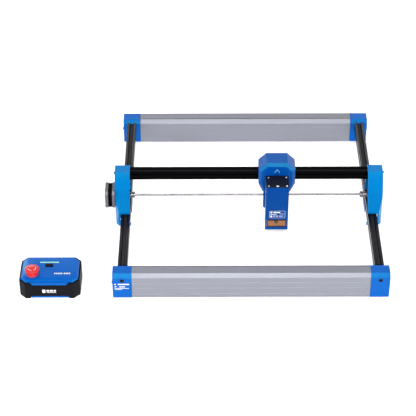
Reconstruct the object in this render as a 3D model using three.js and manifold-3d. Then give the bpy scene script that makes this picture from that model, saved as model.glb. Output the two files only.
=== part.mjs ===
// Desktop laser cutter with its separate control box.
// Millimetres, +Z up, X to the right, Y away from the front, Z = 0 is the desk.
import * as THREE from 'three';
import { ConvexGeometry } from 'three/addons/geometries/ConvexGeometry.js';
import { mergeVertices } from 'three/addons/utils/BufferGeometryUtils.js';
import Module from 'manifold-3d';

const wasm = await Module();
wasm.setup();

// ---- driving dimensions -------------------------------------------------

const GAP = 0.3; // air left between two touching pieces
const SEGMENTS = 20; // facets of a small round piece
const SIDES = [-1, 1]; // left and right

// Machine frame. Its centre is the origin of all the machine's own numbers.
const FRAME_WIDTH = 580;
const FRAME_DEPTH = 600;
const FOOT_HEIGHT = 2;
const BEAM = { depth: 40, bottom: FOOT_HEIGHT, top: 62, chamfer: 8, wall: 2.2 };
const RIB = { proud: 0.8, height: 4, tops: [12.2, 27.8, 42] };
const GROOVE = { fromInner: 1, width: 2, depth: 1.6 };
const CAP_WIDTH = 40;
const CAP_SCREW = { headRadius: 4.5, headDepth: 3.5, sunk: 0.7, shankRadius: 2.2, length: 62 };
const FOOT_RADIUS = 12;

// Slotted square tube, used for the two rails and the moving cross beam.
const TUBE = { half: 10, bore: 2.7 };
const SLOT = { half: 4.7, throatHalf: 3.4, lip: 1.8, cavityHalf: 5.5, shelf: 3.6, depth: 6.1 };
const RAIL_X = 270;
const RAIL_Z = 47.5;

// Rollers, timing belts and pulleys of both axes.
const WHEEL = { radius: 7.6, rimHalf: 1.8, shoulderRadius: 5.6, halfWidth: 4.2, bore: 2.6 };
const WHEEL_TO_TUBE = 15.6; // tube centre to wheel axle
const AXLE_RADIUS = 2.3;
const SPACER_RADIUS = 3.6;
const AXLE_PAST_MIDDLE = 6; // how far an axle reaches past the middle of its roller
const PULLEY = { toothRadius: 6.1, flangeRadius: 7.6, flange: 1, halfWidth: 4.3 };
const BELT = { width: 6, thickness: 1.2 };
const BELT_DEPTH = 4.6; // tube surface to the middle of the straight belt

// Moving gantry, where it stands along the frame (Y) and its side covers.
const GANTRY_Y = -46;
const COVER = { inner: 261, outer: 294, wall: 2, front: -91, rear: -1, bottom: 27, top: 132.4 };
const COVER_LIP = { top: 63, outer: 285 };
const COVER_BEND = { y: -63, z: 84, shoulder: 21 };
const COVER_BULGE = { y: -57, z: 110 };
const COVER_ROOF = { front: -37, rear: -10 };
const SKIRT = { corner: 291.5, cornerY: -84, inner: 258.9, innerTop: 36.9, innerFront: -45, barTop: 35 };
const RAIL_WINDOW = { inner: 258.7, outer: 281.6, top: 58.5 };
const PLATE = { inner: 280.4, outer: 283.4, bottom: 30, top: 128 };
const Y_WHEEL_OFFSET = 25;
const CROSS_BEAM = { y: -22.5, z: 120 };
const DRIVE_SHAFT = { y: GANTRY_Y, z: 78, radius: 2.2, left: -300, right: 284 };
const COUPLING_RADIUS = 7;
const LEFT_COUPLING = [-264.2, -250.5];
const RIGHT_COUPLING = [245, 264.2];
const Y_MOTOR = { size: 44.4, corner: 5, outer: -315.5, inner: -294.3, stator: [-308.7, -300.0] };

// Laser head: the carriage on the cross beam and the laser module in front of it.
const HEAD_X = 61;
const HOUSING = { half: 40, topHalf: 23, hipHalf: 29, top: 165, shoulder: 148, waist: 110, hip: 85 };
const HOUSING_FRONT = { edge: -47, face: -53, bevel: 6, wall: 2.5 };
const HOUSING_REAR = -9.6;
const TONGUE = { left: 29, right: 25, bottom: 46, thickness: 3.2, radius: 5 };
const CARRIAGE_PLATE = { front: -36, rear: -33, half: 36, bottom: 90, top: 152 };
const X_WHEEL_OFFSET = 25;
const X_PULLEY_Z = 142;
const X_MOTOR = { radius: 16.4, front: -50, rear: -36.3 };
const MODULE = { half: 24.8, front: -92.5, rear: -53.3, bottom: 15.8, top: 135, wall: 2 };
const MODULE_FLOOR = [48, 53]; // deck between the light shield and the cooling duct
const WINDOW = { half: 21.5, bottom: 24, top: 43.5, thickness: 1.4 };
const TOP_PLATE_THICKNESS = 2.7;
const HEAT_SINK = { finPitch: 6, finHalf: 0.8, base: 14, top: 108 };
const FAN = { low: 114, high: 124, hubRadius: 7, blades: 7, blade: [11, 1.2, 9], lean: Math.PI / 5 };
const NOZZLE = { tip: 19.5, tipRadius: 2.2, throat: 28.5, throatRadius: 4.5, shoulder: 40, radius: 8 };
const NOZZLE_SPIGOT = 5.9;
const KNOB = { z: 60, radius: 7, length: 11, slotHalf: 2.6, slotReach: 8 };

// Control box, standing on the desk to the left of the machine.
const BOX = { x: -422.5, half: 63.5, front: -300, rear: -214, corner: 12.5, wall: 2.5 };
const BOX_BAND = { bottom: 1.5, top: 41, archHeight: 6, archHalf: 38, archSplay: 4 };
const LID = { inset: 3, edgeInset: 5.5, edgeRise: 3.9, topInset: 12.5, rise: 6.5, tabHalf: 40, tabDrop: 5.6 };
const ESTOP = { x: -458.2, y: -276, neckRadius: 10.6, collarRadius: 12.8, collarTop: 54, travel: 4 };
const ESTOP_HEAD = { radius: 15, top: 63, postRadius: 5 };
const LED_BAR = { x: -425.3, y: -239, length: 40, width: 3 };
const POWER_BUTTON = { x: -425.3, y: -249.5, length: 16, width: 8 };
const SOCKET = { x: -445, z: 18, width: 15, height: 11, wall: 2 };

// The origin is the middle of the whole object's footprint.
const ORIGIN_X = (BOX.x - BOX.half + COVER.outer) / 2;

const half = (value) => value / 2;

// ---- materials ----------------------------------------------------------

function paint(colour, roughness, metalness) {
  return new THREE.MeshStandardMaterial({ color: colour, roughness, metalness });
}

const MATERIALS = {
  bluePlastic: paint(0x0064c8, 0.35, 0),
  blueMetal: paint(0x0a62c4, 0.35, 0.2),
  silver: paint(0xa4a6b0, 0.4, 0.9),
  steel: paint(0xc9cace, 0.25, 1),
  blackAnodised: paint(0x101014, 0.4, 0.6),
  blackPlastic: paint(0x212025, 0.5, 0),
  blackRubber: paint(0x0c0c0e, 0.8, 0),
  amber: paint(0x8a5a28, 0.15, 0),
  red: paint(0xe63232, 0.35, 0),
  glow: paint(0xa5e6be, 0.4, 0),
  brass: paint(0x6b4a22, 0.35, 0.9),
};

// ---- closed solids from three.js geometry ------------------------------

function toSolid(geometry) {
  const bare = geometry.clone();
  bare.deleteAttribute('normal');
  bare.deleteAttribute('uv');
  const merged = mergeVertices(bare, 1e-4);
  const vertProperties = new Float32Array(merged.attributes.position.array);
  const triVerts = new Uint32Array(merged.index.array);
  return new wasm.Manifold(new wasm.Mesh({ numProp: 3, vertProperties, triVerts }));
}

function toGeometry(solid) {
  const mesh = solid.getMesh();
  const geometry = new THREE.BufferGeometry();
  geometry.setAttribute('position', new THREE.BufferAttribute(mesh.vertProperties, 3));
  geometry.setIndex(new THREE.BufferAttribute(mesh.triVerts, 1));
  return geometry;
}

function join(...solids) {
  return solids.reduce((whole, solid) => whole.add(solid));
}

function block(x0, x1, y0, y1, z0, z1) {
  const geometry = new THREE.BoxGeometry(Math.abs(x1 - x0), Math.abs(y1 - y0), Math.abs(z1 - z0));
  geometry.translate(half(x0 + x1), half(y0 + y1), half(z0 + z1));
  return toSolid(geometry);
}

function shapeOf(points) {
  return new THREE.Shape(points.map(([a, b]) => new THREE.Vector2(a, b)));
}

function extrude(shape, depth) {
  return new THREE.ExtrudeGeometry(shape, { depth, bevelEnabled: false, curveSegments: 6 });
}

// An outline in (y, z) carried from x0 to x1.
function prismX(outline, x0, x1) {
  const shape = outline instanceof THREE.Shape ? outline : shapeOf(outline);
  const geometry = extrude(shape, Math.abs(x1 - x0));
  const turn = new THREE.Matrix4().makeBasis(
    new THREE.Vector3(0, 1, 0), new THREE.Vector3(0, 0, 1), new THREE.Vector3(1, 0, 0));
  geometry.applyMatrix4(turn);
  geometry.translate(Math.min(x0, x1), 0, 0);
  return toSolid(geometry);
}

// An outline in (x, z) carried from y0 to y1.
function prismY(outline, y0, y1) {
  const shape = outline instanceof THREE.Shape ? outline : shapeOf(outline);
  const geometry = extrude(shape, Math.abs(y1 - y0));
  geometry.rotateX(Math.PI / 2);
  geometry.translate(0, Math.max(y0, y1), 0);
  return toSolid(geometry);
}

// An outline in (x, y) carried from z0 to z1.
function prismZ(outline, z0, z1) {
  const geometry = extrude(shapeOf(outline), z1 - z0);
  geometry.translate(0, 0, z0);
  return toSolid(geometry);
}

// A block given by its middle and its size along X and Y, between two heights.
function blockAt(spot, grow, z0, z1) {
  const reachX = half(spot.length) + grow;
  const reachY = half(spot.width) + grow;
  return block(spot.x - reachX, spot.x + reachX, spot.y - reachY, spot.y + reachY, z0, z1);
}

function rodX(x0, x1, y, z, radius, segments = SEGMENTS) {
  const geometry = new THREE.CylinderGeometry(radius, radius, Math.abs(x1 - x0), segments);
  geometry.rotateZ(Math.PI / 2);
  geometry.translate(half(x0 + x1), y, z);
  return toSolid(geometry);
}

function rodY(y0, y1, x, z, radius, segments = SEGMENTS) {
  const geometry = new THREE.CylinderGeometry(radius, radius, Math.abs(y1 - y0), segments);
  geometry.translate(x, half(y0 + y1), z);
  return toSolid(geometry);
}

function rodZ(z0, z1, x, y, radius, segments = SEGMENTS) {
  const geometry = new THREE.CylinderGeometry(radius, radius, Math.abs(z1 - z0), segments);
  geometry.rotateX(Math.PI / 2);
  geometry.translate(x, y, half(z0 + z1));
  return toSolid(geometry);
}

// A turned ring: profile points are [radius, height along the axis] and close on themselves.
function turned(profile, segments = SEGMENTS) {
  const points = profile.map(([radius, height]) => new THREE.Vector2(radius, height));
  return new THREE.LatheGeometry(points, segments);
}

const whole = new THREE.Group();
whole.position.x = -ORIGIN_X;

function addPiece(name, solid, material) {
  const mesh = new THREE.Mesh(toGeometry(solid), material);
  mesh.name = name;
  whole.add(mesh);
}

const sideName = (side) => (side < 0 ? 'left' : 'right');

// ---- frame --------------------------------------------------------------

// Distance from the outer face of a beam (a) to the machine's own Y.
const beamY = (end, a) => end * (half(FRAME_DEPTH) - a);

function beamOutline(end) {
  const { depth, bottom, top, chamfer } = BEAM;
  const points = [[depth, bottom], [depth, top - chamfer], [depth - chamfer, top]];
  const near = depth - chamfer - GROOVE.fromInner;
  const far = near - GROOVE.width;
  points.push([near, top], [near, top - GROOVE.depth], [far, top - GROOVE.depth], [far, top]);
  points.push([chamfer, top], [RIB.proud, top - chamfer + RIB.proud]);
  for (const high of [...RIB.tops].reverse()) {
    const low = high - RIB.height;
    points.push([RIB.proud, high], [0, high - RIB.proud], [0, low], [RIB.proud, low]);
  }
  points.push([RIB.proud, bottom]);
  return shapeOf(points.map(([a, z]) => [beamY(end, a), z]));
}

function beamHollow(end) {
  const { depth, bottom, top, chamfer, wall } = BEAM;
  const inner = depth - wall;
  const outer = RIB.proud + wall;
  const low = bottom + wall;
  const high = top - wall;
  const ceiling = high - GROOVE.depth;
  const points = [[outer, low], [outer, high - chamfer], [outer + chamfer, ceiling]];
  points.push([inner - chamfer, ceiling], [inner, high - chamfer], [inner, low]);
  return shapeOf(points.map(([a, z]) => [beamY(end, a), z]));
}

function addBeam(end, name) {
  const reach = half(FRAME_WIDTH) - CAP_WIDTH - GAP;
  const shape = beamOutline(end);
  shape.holes.push(beamHollow(end));
  addPiece(name, prismX(shape, -reach, reach), MATERIALS.silver);
}

function addEndCap(end, side, name) {
  const { depth, bottom, top, chamfer } = BEAM;
  const outline = [[0, bottom], [depth, bottom], [depth, top - chamfer]];
  outline.push([depth - chamfer, top], [chamfer, top], [0, top - chamfer]);
  const inner = side * (half(FRAME_WIDTH) - CAP_WIDTH);
  const cap = prismX(outline.map(([a, z]) => [beamY(end, a), z]), inner, side * half(FRAME_WIDTH));
  const x = side * RAIL_X;
  const shank = rodY(beamY(end, -1), beamY(end, depth + 1), x, RAIL_Z, CAP_SCREW.shankRadius + GAP);
  const seat = CAP_SCREW.headDepth + CAP_SCREW.sunk + GAP;
  const head = rodY(beamY(end, -1), beamY(end, seat), x, RAIL_Z, CAP_SCREW.headRadius + GAP);
  addPiece(name, cap.subtract(join(shank, head)), MATERIALS.bluePlastic);
}

function addFoot(end, side, name) {
  const foot = rodZ(0, FOOT_HEIGHT - GAP, side * RAIL_X, beamY(end, half(BEAM.depth)), FOOT_RADIUS);
  addPiece(name, foot, MATERIALS.blackRubber);
}

function addRailScrew(side) {
  const x = side * RAIL_X;
  const { headRadius, headDepth, sunk, shankRadius, length } = CAP_SCREW;
  const seat = sunk + headDepth;
  const head = rodY(beamY(-1, sunk), beamY(-1, seat), x, RAIL_Z, headRadius);
  const shank = rodY(beamY(-1, seat - 1), beamY(-1, seat + length), x, RAIL_Z, shankRadius);
  addPiece(`${sideName(side)}_rail_screw`, head.add(shank), MATERIALS.blackAnodised);
}

// Section of the slotted tube round (0, 0), with a slot in the middle of each side.
function tubeSection(centreA, centreB) {
  const edge = TUBE.half;
  const { half: mouth, throatHalf, lip, cavityHalf, shelf, depth } = SLOT;
  const quarter = [[-edge, edge], [-mouth, edge], [-throatHalf, edge - lip], [-cavityHalf, edge - lip]];
  quarter.push([-cavityHalf, edge - shelf], [-throatHalf, edge - depth], [throatHalf, edge - depth]);
  quarter.push([cavityHalf, edge - shelf], [cavityHalf, edge - lip], [throatHalf, edge - lip], [mouth, edge]);
  const points = [];
  for (let turn = 0; turn < 4; turn += 1) {
    const c = Math.round(Math.cos(half(turn * Math.PI)));
    const s = Math.round(Math.sin(half(turn * Math.PI)));
    for (const [a, b] of quarter) points.push([centreA + c * a + s * b, centreB - s * a + c * b]);
  }
  const shape = shapeOf(points);
  const hole = new THREE.Path();
  hole.absarc(centreA, centreB, TUBE.bore, 0, 2 * Math.PI);
  shape.holes.push(hole);
  return shape;
}

const railEnd = half(FRAME_DEPTH) - BEAM.depth - GAP;

function addRail(side) {
  const rail = prismY(tubeSection(side * RAIL_X, RAIL_Z), -railEnd, railEnd);
  addPiece(`${sideName(side)}_rail`, rail, MATERIALS.blackAnodised);
}

function addRailBelt(side) {
  const x = side * RAIL_X;
  const middle = RAIL_Z + TUBE.half - BELT_DEPTH;
  const end = railEnd - 4;
  const belt = block(x - half(BELT.width), x + half(BELT.width), -end, end,
    middle - half(BELT.thickness), middle + half(BELT.thickness));
  addPiece(`${sideName(side)}_belt`, belt, MATERIALS.blackRubber);
}

// ---- rollers, pulleys and belt loops ------------------------------------

function wheelProfile() {
  const { radius, rimHalf, shoulderRadius, halfWidth, bore } = WHEEL;
  const right = [[bore, halfWidth], [shoulderRadius, halfWidth], [radius, rimHalf]];
  const left = right.map(([r, h]) => [r, -h]);
  return [...left, ...[...right].reverse(), left[0]];
}

function pulleyProfile() {
  const { toothRadius, flangeRadius, flange, halfWidth } = PULLEY;
  const bore = DRIVE_SHAFT.radius + GAP;
  const right = [[bore, halfWidth], [flangeRadius, halfWidth], [flangeRadius, halfWidth - flange]];
  right.push([toothRadius, halfWidth - flange]);
  const left = right.map(([r, h]) => [r, -h]);
  return [...left, ...[...right].reverse(), left[0]];
}

// A turned piece whose axis runs along X or Y, centred at a point.
function turnedAcross(profile, axis, x, y, z) {
  const geometry = turned(profile);
  if (axis === 'x') geometry.rotateZ(-Math.PI / 2);
  geometry.translate(x, y, z);
  return toSolid(geometry);
}

// Outline of a belt that dips under two wheels and loops over the pulley between them.
// The wheels are at (-span, 0) and (span, 0), the pulley at (0, rise).
function beltLoop(span, rise) {
  const wheelRadius = WHEEL.radius + GAP + half(BELT.thickness);
  const pulleyRadius = PULLEY.toothRadius + GAP + half(BELT.thickness);
  const reach = Math.hypot(span, rise);
  const slope = Math.atan2(rise, span) + Math.asin((wheelRadius + pulleyRadius) / reach);
  const steps = 7;
  function side(offset) {
    const points = [];
    for (let i = 0; i <= steps; i += 1) {
      const angle = -half(Math.PI) + (slope * i) / steps;
      const radius = wheelRadius - offset;
      points.push([-span + radius * Math.cos(angle), radius * Math.sin(angle)]);
    }
    for (let i = 0; i <= steps; i += 1) {
      const angle = slope + half(Math.PI) - (slope * i) / steps;
      const radius = pulleyRadius + offset;
      points.push([radius * Math.cos(angle), rise + radius * Math.sin(angle)]);
    }
    const mirrored = points.slice(0, -1).reverse().map(([u, w]) => [-u, w]);
    return [...points, ...mirrored];
  }
  return [...side(half(BELT.thickness)), ...side(-half(BELT.thickness)).reverse()];
}

// ---- gantry -------------------------------------------------------------

function addCrossBeam() {
  const reach = PLATE.inner - GAP;
  const beam = prismX(tubeSection(CROSS_BEAM.y, CROSS_BEAM.z), -reach, reach);
  addPiece('cross_beam', beam, MATERIALS.blackAnodised);
  const middle = CROSS_BEAM.z + TUBE.half - BELT_DEPTH;
  const end = reach - 2;
  const belt = block(-end, end, CROSS_BEAM.y - half(BELT.width), CROSS_BEAM.y + half(BELT.width),
    middle - half(BELT.thickness), middle + half(BELT.thickness));
  addPiece('cross_belt', belt, MATERIALS.blackRubber);
}

// Upper part of a cover in (y, z): the front face bulges slightly, the back leans.
function coverUpper(inset) {
  const front = new THREE.Vector2(COVER_ROOF.front + inset, COVER.top - inset);
  const bend = new THREE.Vector2(COVER_BEND.y + inset, COVER_BEND.z);
  const bulge = new THREE.Vector2(COVER_BULGE.y + inset, COVER_BULGE.z);
  const curve = new THREE.QuadraticBezierCurve(bend, bulge, front);
  const points = curve.getPoints(5).map((p) => [p.x, p.y]);
  points.push([COVER_ROOF.rear - inset, COVER.top - inset], [COVER.rear - inset, COVER_LIP.top]);
  points.push([COVER.rear - inset, COVER_LIP.top - 3], [COVER_BEND.y + inset, COVER_LIP.top - 3]);
  return points;
}

// Lower part of a cover: the ramp, the lip and the skirt, narrower towards the front.
function coverLower(side, inset, inner, bottom) {
  const corners = [];
  const put = (x, y, z) => corners.push(new THREE.Vector3(side * x, y, z));
  const outer = COVER.outer - inset;
  for (const x of [inner, outer]) {
    put(x, COVER_BEND.y + inset * 0.4, COVER_BEND.z - inset);
    put(x, COVER.rear - inset, COVER_BEND.z - COVER_BEND.shoulder);
  }
  put(inner, COVER.rear - inset, COVER_BEND.z - inset);
  put(outer, COVER.rear - inset - 4, COVER_BEND.z - inset);
  put(inner, COVER.front + inset, COVER_LIP.top - inset);
  put(COVER_LIP.outer - inset, COVER.front + inset, COVER_LIP.top - inset);
  put(inner, COVER.front + inset, bottom);
  put(COVER_LIP.outer - inset, COVER.front + inset, bottom);
  put(SKIRT.corner - inset, SKIRT.cornerY + inset, bottom);
  put(SKIRT.corner - inset, COVER.rear - inset, bottom);
  put(inner, COVER.rear - inset, bottom);
  return toSolid(new ConvexGeometry(corners));
}

function addCover(side) {
  const { inner, outer, wall, front, rear, bottom } = COVER;
  const upper = prismX(coverUpper(0), side * inner, side * outer);
  const shellBody = join(upper, coverLower(side, 0, inner, bottom));
  const openSide = inner - 5;
  const hollow = join(
    prismX(coverUpper(wall), side * openSide, side * (outer - wall)),
    coverLower(side, wall, openSide, bottom - 5));
  const window = block(side * openSide, side * RAIL_WINDOW.outer, front - 5, rear + 5,
    bottom - 5, RAIL_WINDOW.top);
  const shaftHole = rodX(side * (outer - wall - 3), side * (outer + 3), DRIVE_SHAFT.y, DRIVE_SHAFT.z, 12);
  const shell = shellBody.subtract(join(hollow, window, shaftHole));
  addPiece(`${sideName(side)}_cover`, join(shell, ...skirtBars(side)), MATERIALS.bluePlastic);
}

// The parts of a cover that pass under the rail: a bar at the front, and one at the rear with a
// strip along the rail's inner side.
function skirtBars(side) {
  const { wall, front, rear, bottom } = COVER;
  const inner = side * SKIRT.inner;
  const outer = side * (RAIL_WINDOW.outer + 2);
  return [
    block(inner, outer, front, front + wall, bottom, SKIRT.barTop),
    block(inner, outer, rear - wall, rear, bottom, SKIRT.innerTop),
    block(inner, inner + side * 2.5, SKIRT.innerFront, rear, bottom, SKIRT.innerTop),
  ];
}

// Carriage plate of one side, with the axles that its three rollers turn on.
function addSidePlate(side) {
  const { inner, outer, bottom, top } = PLATE;
  const window = RAIL_WINDOW.top;
  const outline = [[-68, bottom], [-68, window], [-78, window], [-78, 66], [-62, 78], [-40, 118]];
  outline.push([-34, top], [-14, top], [-6, 62], [-6, bottom]);
  const sheet = prismX(outline, side * inner, side * outer);
  const axles = wheelSpots().map(([y, z]) => join(
    rodX(side * (inner + 1), side * (RAIL_X + WHEEL.halfWidth + GAP), y, z, SPACER_RADIUS),
    rodX(side * (inner + 1), side * (RAIL_X - AXLE_PAST_MIDDLE), y, z, AXLE_RADIUS, 16)));
  const shaftHole = rodX(side * (inner - 1), side * (outer + 1), DRIVE_SHAFT.y, DRIVE_SHAFT.z, 8.5);
  const plate = join(sheet, ...axles).subtract(shaftHole);
  addPiece(`${sideName(side)}_carriage_plate`, plate, MATERIALS.blackAnodised);
}

function wheelSpots() {
  const upper = RAIL_Z + WHEEL_TO_TUBE;
  return [
    [GANTRY_Y - Y_WHEEL_OFFSET, upper],
    [GANTRY_Y + Y_WHEEL_OFFSET, upper],
    [GANTRY_Y, RAIL_Z - WHEEL_TO_TUBE],
  ];
}

const WHEEL_NAMES = ['front_roller', 'rear_roller', 'lower_roller'];

function addSideRollers(side) {
  wheelSpots().forEach(([y, z], i) => {
    const roller = turnedAcross(wheelProfile(), 'x', side * RAIL_X, y, z);
    addPiece(`${sideName(side)}_${WHEEL_NAMES[i]}`, roller, MATERIALS.blackPlastic);
  });
}

function addSideBeltLoop(side) {
  const wheelZ = RAIL_Z + WHEEL_TO_TUBE;
  const outline = beltLoop(Y_WHEEL_OFFSET, DRIVE_SHAFT.z - wheelZ);
  const placed = outline.map(([u, w]) => [GANTRY_Y + u, wheelZ + w]);
  const x = side * RAIL_X;
  const loop = prismX(placed, x - half(BELT.width), x + half(BELT.width));
  addPiece(`${sideName(side)}_belt_loop`, loop, MATERIALS.blackRubber);
}

// Square with cut corners round the drive shaft, in (y, z).
function motorSection(edge, cut) {
  const reach = half(edge);
  const inner = reach - cut;
  const points = [[reach, inner], [inner, reach], [-inner, reach], [-reach, inner]];
  points.push([-reach, -inner], [-inner, -reach], [inner, -reach], [reach, -inner]);
  return points.map(([y, z]) => [DRIVE_SHAFT.y + y, DRIVE_SHAFT.z + z]);
}

function addYMotor() {
  const { size, corner, outer, inner, stator } = Y_MOTOR;
  const [statorLeft, statorRight] = stator;
  const { y, z } = DRIVE_SHAFT;
  const outerEnd = prismX(motorSection(size, corner), outer, statorLeft);
  const innerEnd = prismX(motorSection(size, corner), statorRight, inner);
  const core = prismX(motorSection(size - 1.6, corner + 2), statorLeft - 1, statorRight + 1);
  const pilot = rodX(inner - 1, inner + 2.2, y, z, 11);
  const bore = rodX(DRIVE_SHAFT.left - 1, inner + 5, y, z, DRIVE_SHAFT.radius + 0.7);
  addPiece('gantry_motor', join(outerEnd, innerEnd, core, pilot).subtract(bore), MATERIALS.silver);
}

function addDriveShaft() {
  const { y, z, radius, left, right } = DRIVE_SHAFT;
  addPiece('drive_shaft', rodX(left, right, y, z, radius), MATERIALS.steel);
  const bore = rodX(left, right, y, z, radius + GAP);
  for (const [name, ends] of [['left_coupling', LEFT_COUPLING], ['right_coupling', RIGHT_COUPLING]]) {
    const middle = half(ends[0] + ends[1]);
    const sleeve = join(
      rodX(ends[0], middle - 0.5, y, z, COUPLING_RADIUS, 28),
      rodX(middle - 1, middle + 1, y, z, COUPLING_RADIUS - 0.8, 28),
      rodX(middle + 0.5, ends[1], y, z, COUPLING_RADIUS, 28));
    addPiece(name, sleeve.subtract(bore), MATERIALS.steel);
  }
  for (const side of SIDES) {
    const pulley = turnedAcross(pulleyProfile(), 'x', side * RAIL_X, y, z);
    addPiece(`${sideName(side)}_pulley`, pulley, MATERIALS.steel);
  }
}

// ---- laser head ---------------------------------------------------------

// Outline of the head housing in (x, z): an octagon that narrows into a flat tongue.
function housingOutline(inset) {
  const { half: side, topHalf, hipHalf, top, shoulder, waist, hip } = HOUSING;
  const right = [[topHalf - inset * 0.4, top - inset], [side - inset, shoulder - inset * 0.4]];
  right.push([side - inset, waist + inset * 0.2], [hipHalf - inset, hip]);
  return right;
}

function mirrorAboutHead(right) {
  const left = right.map(([x, z]) => [-x, z]).reverse();
  return [...right, ...left].map(([x, z]) => [HEAD_X + x, z]);
}

function addHousing() {
  const { hip, half: side } = HOUSING;
  const rear = HOUSING_REAR;
  const { edge, face, bevel, wall } = HOUSING_FRONT;
  const beamRoom = TUBE.half + 1.5;
  const body = prismY(mirrorAboutHead(housingOutline(0)), edge, rear);
  const nose = new ConvexGeometry([
    ...mirrorAboutHead(housingOutline(0)).map(([x, z]) => new THREE.Vector3(x, edge + 0.01, z)),
    ...mirrorAboutHead(housingOutline(bevel)).map(([x, z]) => new THREE.Vector3(x, face, z)),
  ]);
  const hollow = prismY(mirrorAboutHead(housingOutline(wall)), edge, rear + 5);
  const frontPocket = prismY(mirrorAboutHead(housingOutline(bevel + 0.2)), face + wall, edge + 1);
  const beamSlot = block(HEAD_X - side - 5, HEAD_X + side + 5, CROSS_BEAM.y - beamRoom, rear + 5,
    CROSS_BEAM.z - beamRoom, CROSS_BEAM.z + beamRoom);
  const belowHip = block(HEAD_X - side, HEAD_X + side, edge - 1.5, rear + 5, hip - 5, hip + 4);
  const shell = join(body, toSolid(nose)).subtract(join(hollow, frontPocket, beamSlot, belowHip));
  const tongue = prismY(tongueOutline(), face, face + TONGUE.thickness);
  const slot = block(HEAD_X - KNOB.slotHalf, HEAD_X + KNOB.slotHalf, face - 1, face + TONGUE.thickness + 1,
    KNOB.z - KNOB.slotReach, KNOB.z + KNOB.slotReach);
  addPiece('head_housing', join(shell, tongue).subtract(slot), MATERIALS.bluePlastic);
}

// The tongue hangs from the housing, round at its lower corners and narrower on the right.
function tongueOutline() {
  const { left, right, bottom, radius } = TONGUE;
  const top = HOUSING.hip + 3;
  const steps = 4;
  const outline = [[-left, top], [right, top]];
  for (const [corner, start] of [[right - radius, 0], [radius - left, -half(Math.PI)]]) {
    for (let i = 0; i <= steps; i += 1) {
      const angle = start - (half(Math.PI) * i) / steps;
      outline.push([corner + radius * Math.cos(angle), bottom + radius + radius * Math.sin(angle)]);
    }
  }
  return outline.map(([x, z]) => [HEAD_X + x, z]);
}

function headWheelSpots() {
  const upper = CROSS_BEAM.z + WHEEL_TO_TUBE;
  return [
    [HEAD_X - X_WHEEL_OFFSET, upper],
    [HEAD_X + X_WHEEL_OFFSET, upper],
    [HEAD_X, CROSS_BEAM.z - WHEEL_TO_TUBE],
  ];
}

function addHeadPlate() {
  const { front, rear, half: side, bottom, top } = CARRIAGE_PLATE;
  const right = [[24, top], [side, top - 8], [side, bottom + 18], [22, bottom]];
  const sheet = prismY(mirrorAboutHead(right), front, rear);
  const axles = headWheelSpots().map(([x, z]) => join(
    rodY(rear - 1, CROSS_BEAM.y - WHEEL.halfWidth - GAP, x, z, SPACER_RADIUS),
    rodY(rear - 1, CROSS_BEAM.y + AXLE_PAST_MIDDLE, x, z, AXLE_RADIUS, 16)));
  const shaftHole = rodY(front - 1, rear + 1, HEAD_X, X_PULLEY_Z, 5);
  addPiece('head_carriage_plate', join(sheet, ...axles).subtract(shaftHole), MATERIALS.blackAnodised);
}

function addHeadRollers() {
  const names = ['head_left_roller', 'head_right_roller', 'head_lower_roller'];
  headWheelSpots().forEach(([x, z], i) => {
    addPiece(names[i], turnedAcross(wheelProfile(), 'y', x, CROSS_BEAM.y, z), MATERIALS.blackPlastic);
  });
}

function addHeadDrive() {
  const { radius, front, rear } = X_MOTOR;
  const motor = join(
    rodY(front, rear - 2, HEAD_X, X_PULLEY_Z, radius, 32),
    rodY(rear - 3, rear, HEAD_X, X_PULLEY_Z, radius - 3, 32));
  const bore = rodY(front + 4, rear + 1, HEAD_X, X_PULLEY_Z, 3.2);
  addPiece('head_motor', motor.subtract(bore), MATERIALS.silver);
  const pulley = turnedAcross(pulleyProfile(), 'y', HEAD_X, CROSS_BEAM.y, X_PULLEY_Z);
  const shaft = rodY(front + 5, CROSS_BEAM.y + 5, HEAD_X, X_PULLEY_Z, DRIVE_SHAFT.radius + 0.4);
  addPiece('head_pulley', pulley.add(shaft), MATERIALS.steel);
  const wheelZ = CROSS_BEAM.z + WHEEL_TO_TUBE;
  const outline = beltLoop(X_WHEEL_OFFSET, X_PULLEY_Z - wheelZ).map(([u, w]) => [HEAD_X + u, wheelZ + w]);
  const loop = prismY(outline, CROSS_BEAM.y - half(BELT.width), CROSS_BEAM.y + half(BELT.width));
  addPiece('head_belt_loop', loop, MATERIALS.blackRubber);
}

// ---- laser module -------------------------------------------------------

const moduleMiddleY = half(MODULE.front + MODULE.rear);
const moduleRoof = MODULE.top - TOP_PLATE_THICKNESS;

function addModuleBody() {
  const { half: side, front, rear, bottom, wall } = MODULE;
  const [floorLow, floorHigh] = MODULE_FLOOR;
  const left = HEAD_X - side;
  const right = HEAD_X + side;
  const tube = block(left, right, front, rear, bottom, moduleRoof - GAP);
  const duct = block(left + wall, right - wall, front + wall, rear - wall, floorHigh, moduleRoof + 5);
  const shield = block(left + wall, right - wall, front + wall, rear - wall, bottom - 5, floorLow);
  const window = block(HEAD_X - WINDOW.half, HEAD_X + WINDOW.half, front - 5, front + wall + 1,
    WINDOW.bottom, WINDOW.top);
  const lensHole = rodZ(floorLow - 1, floorHigh + 1, HEAD_X, moduleMiddleY, NOZZLE_SPIGOT + 0.5);
  addPiece('laser_module_body', tube.subtract(join(duct, shield, window, lensHole)), MATERIALS.blueMetal);
}

function addModuleTop() {
  const { half: side, front, rear, top } = MODULE;
  const plate = block(HEAD_X - side, HEAD_X + side, front, rear, moduleRoof, top);
  const socket = block(HEAD_X - 5, HEAD_X + 5, rear - 9, rear - 2, top - 1, top + 3);
  addPiece('module_top_plate', plate.add(socket), MATERIALS.blackPlastic);
}

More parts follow.
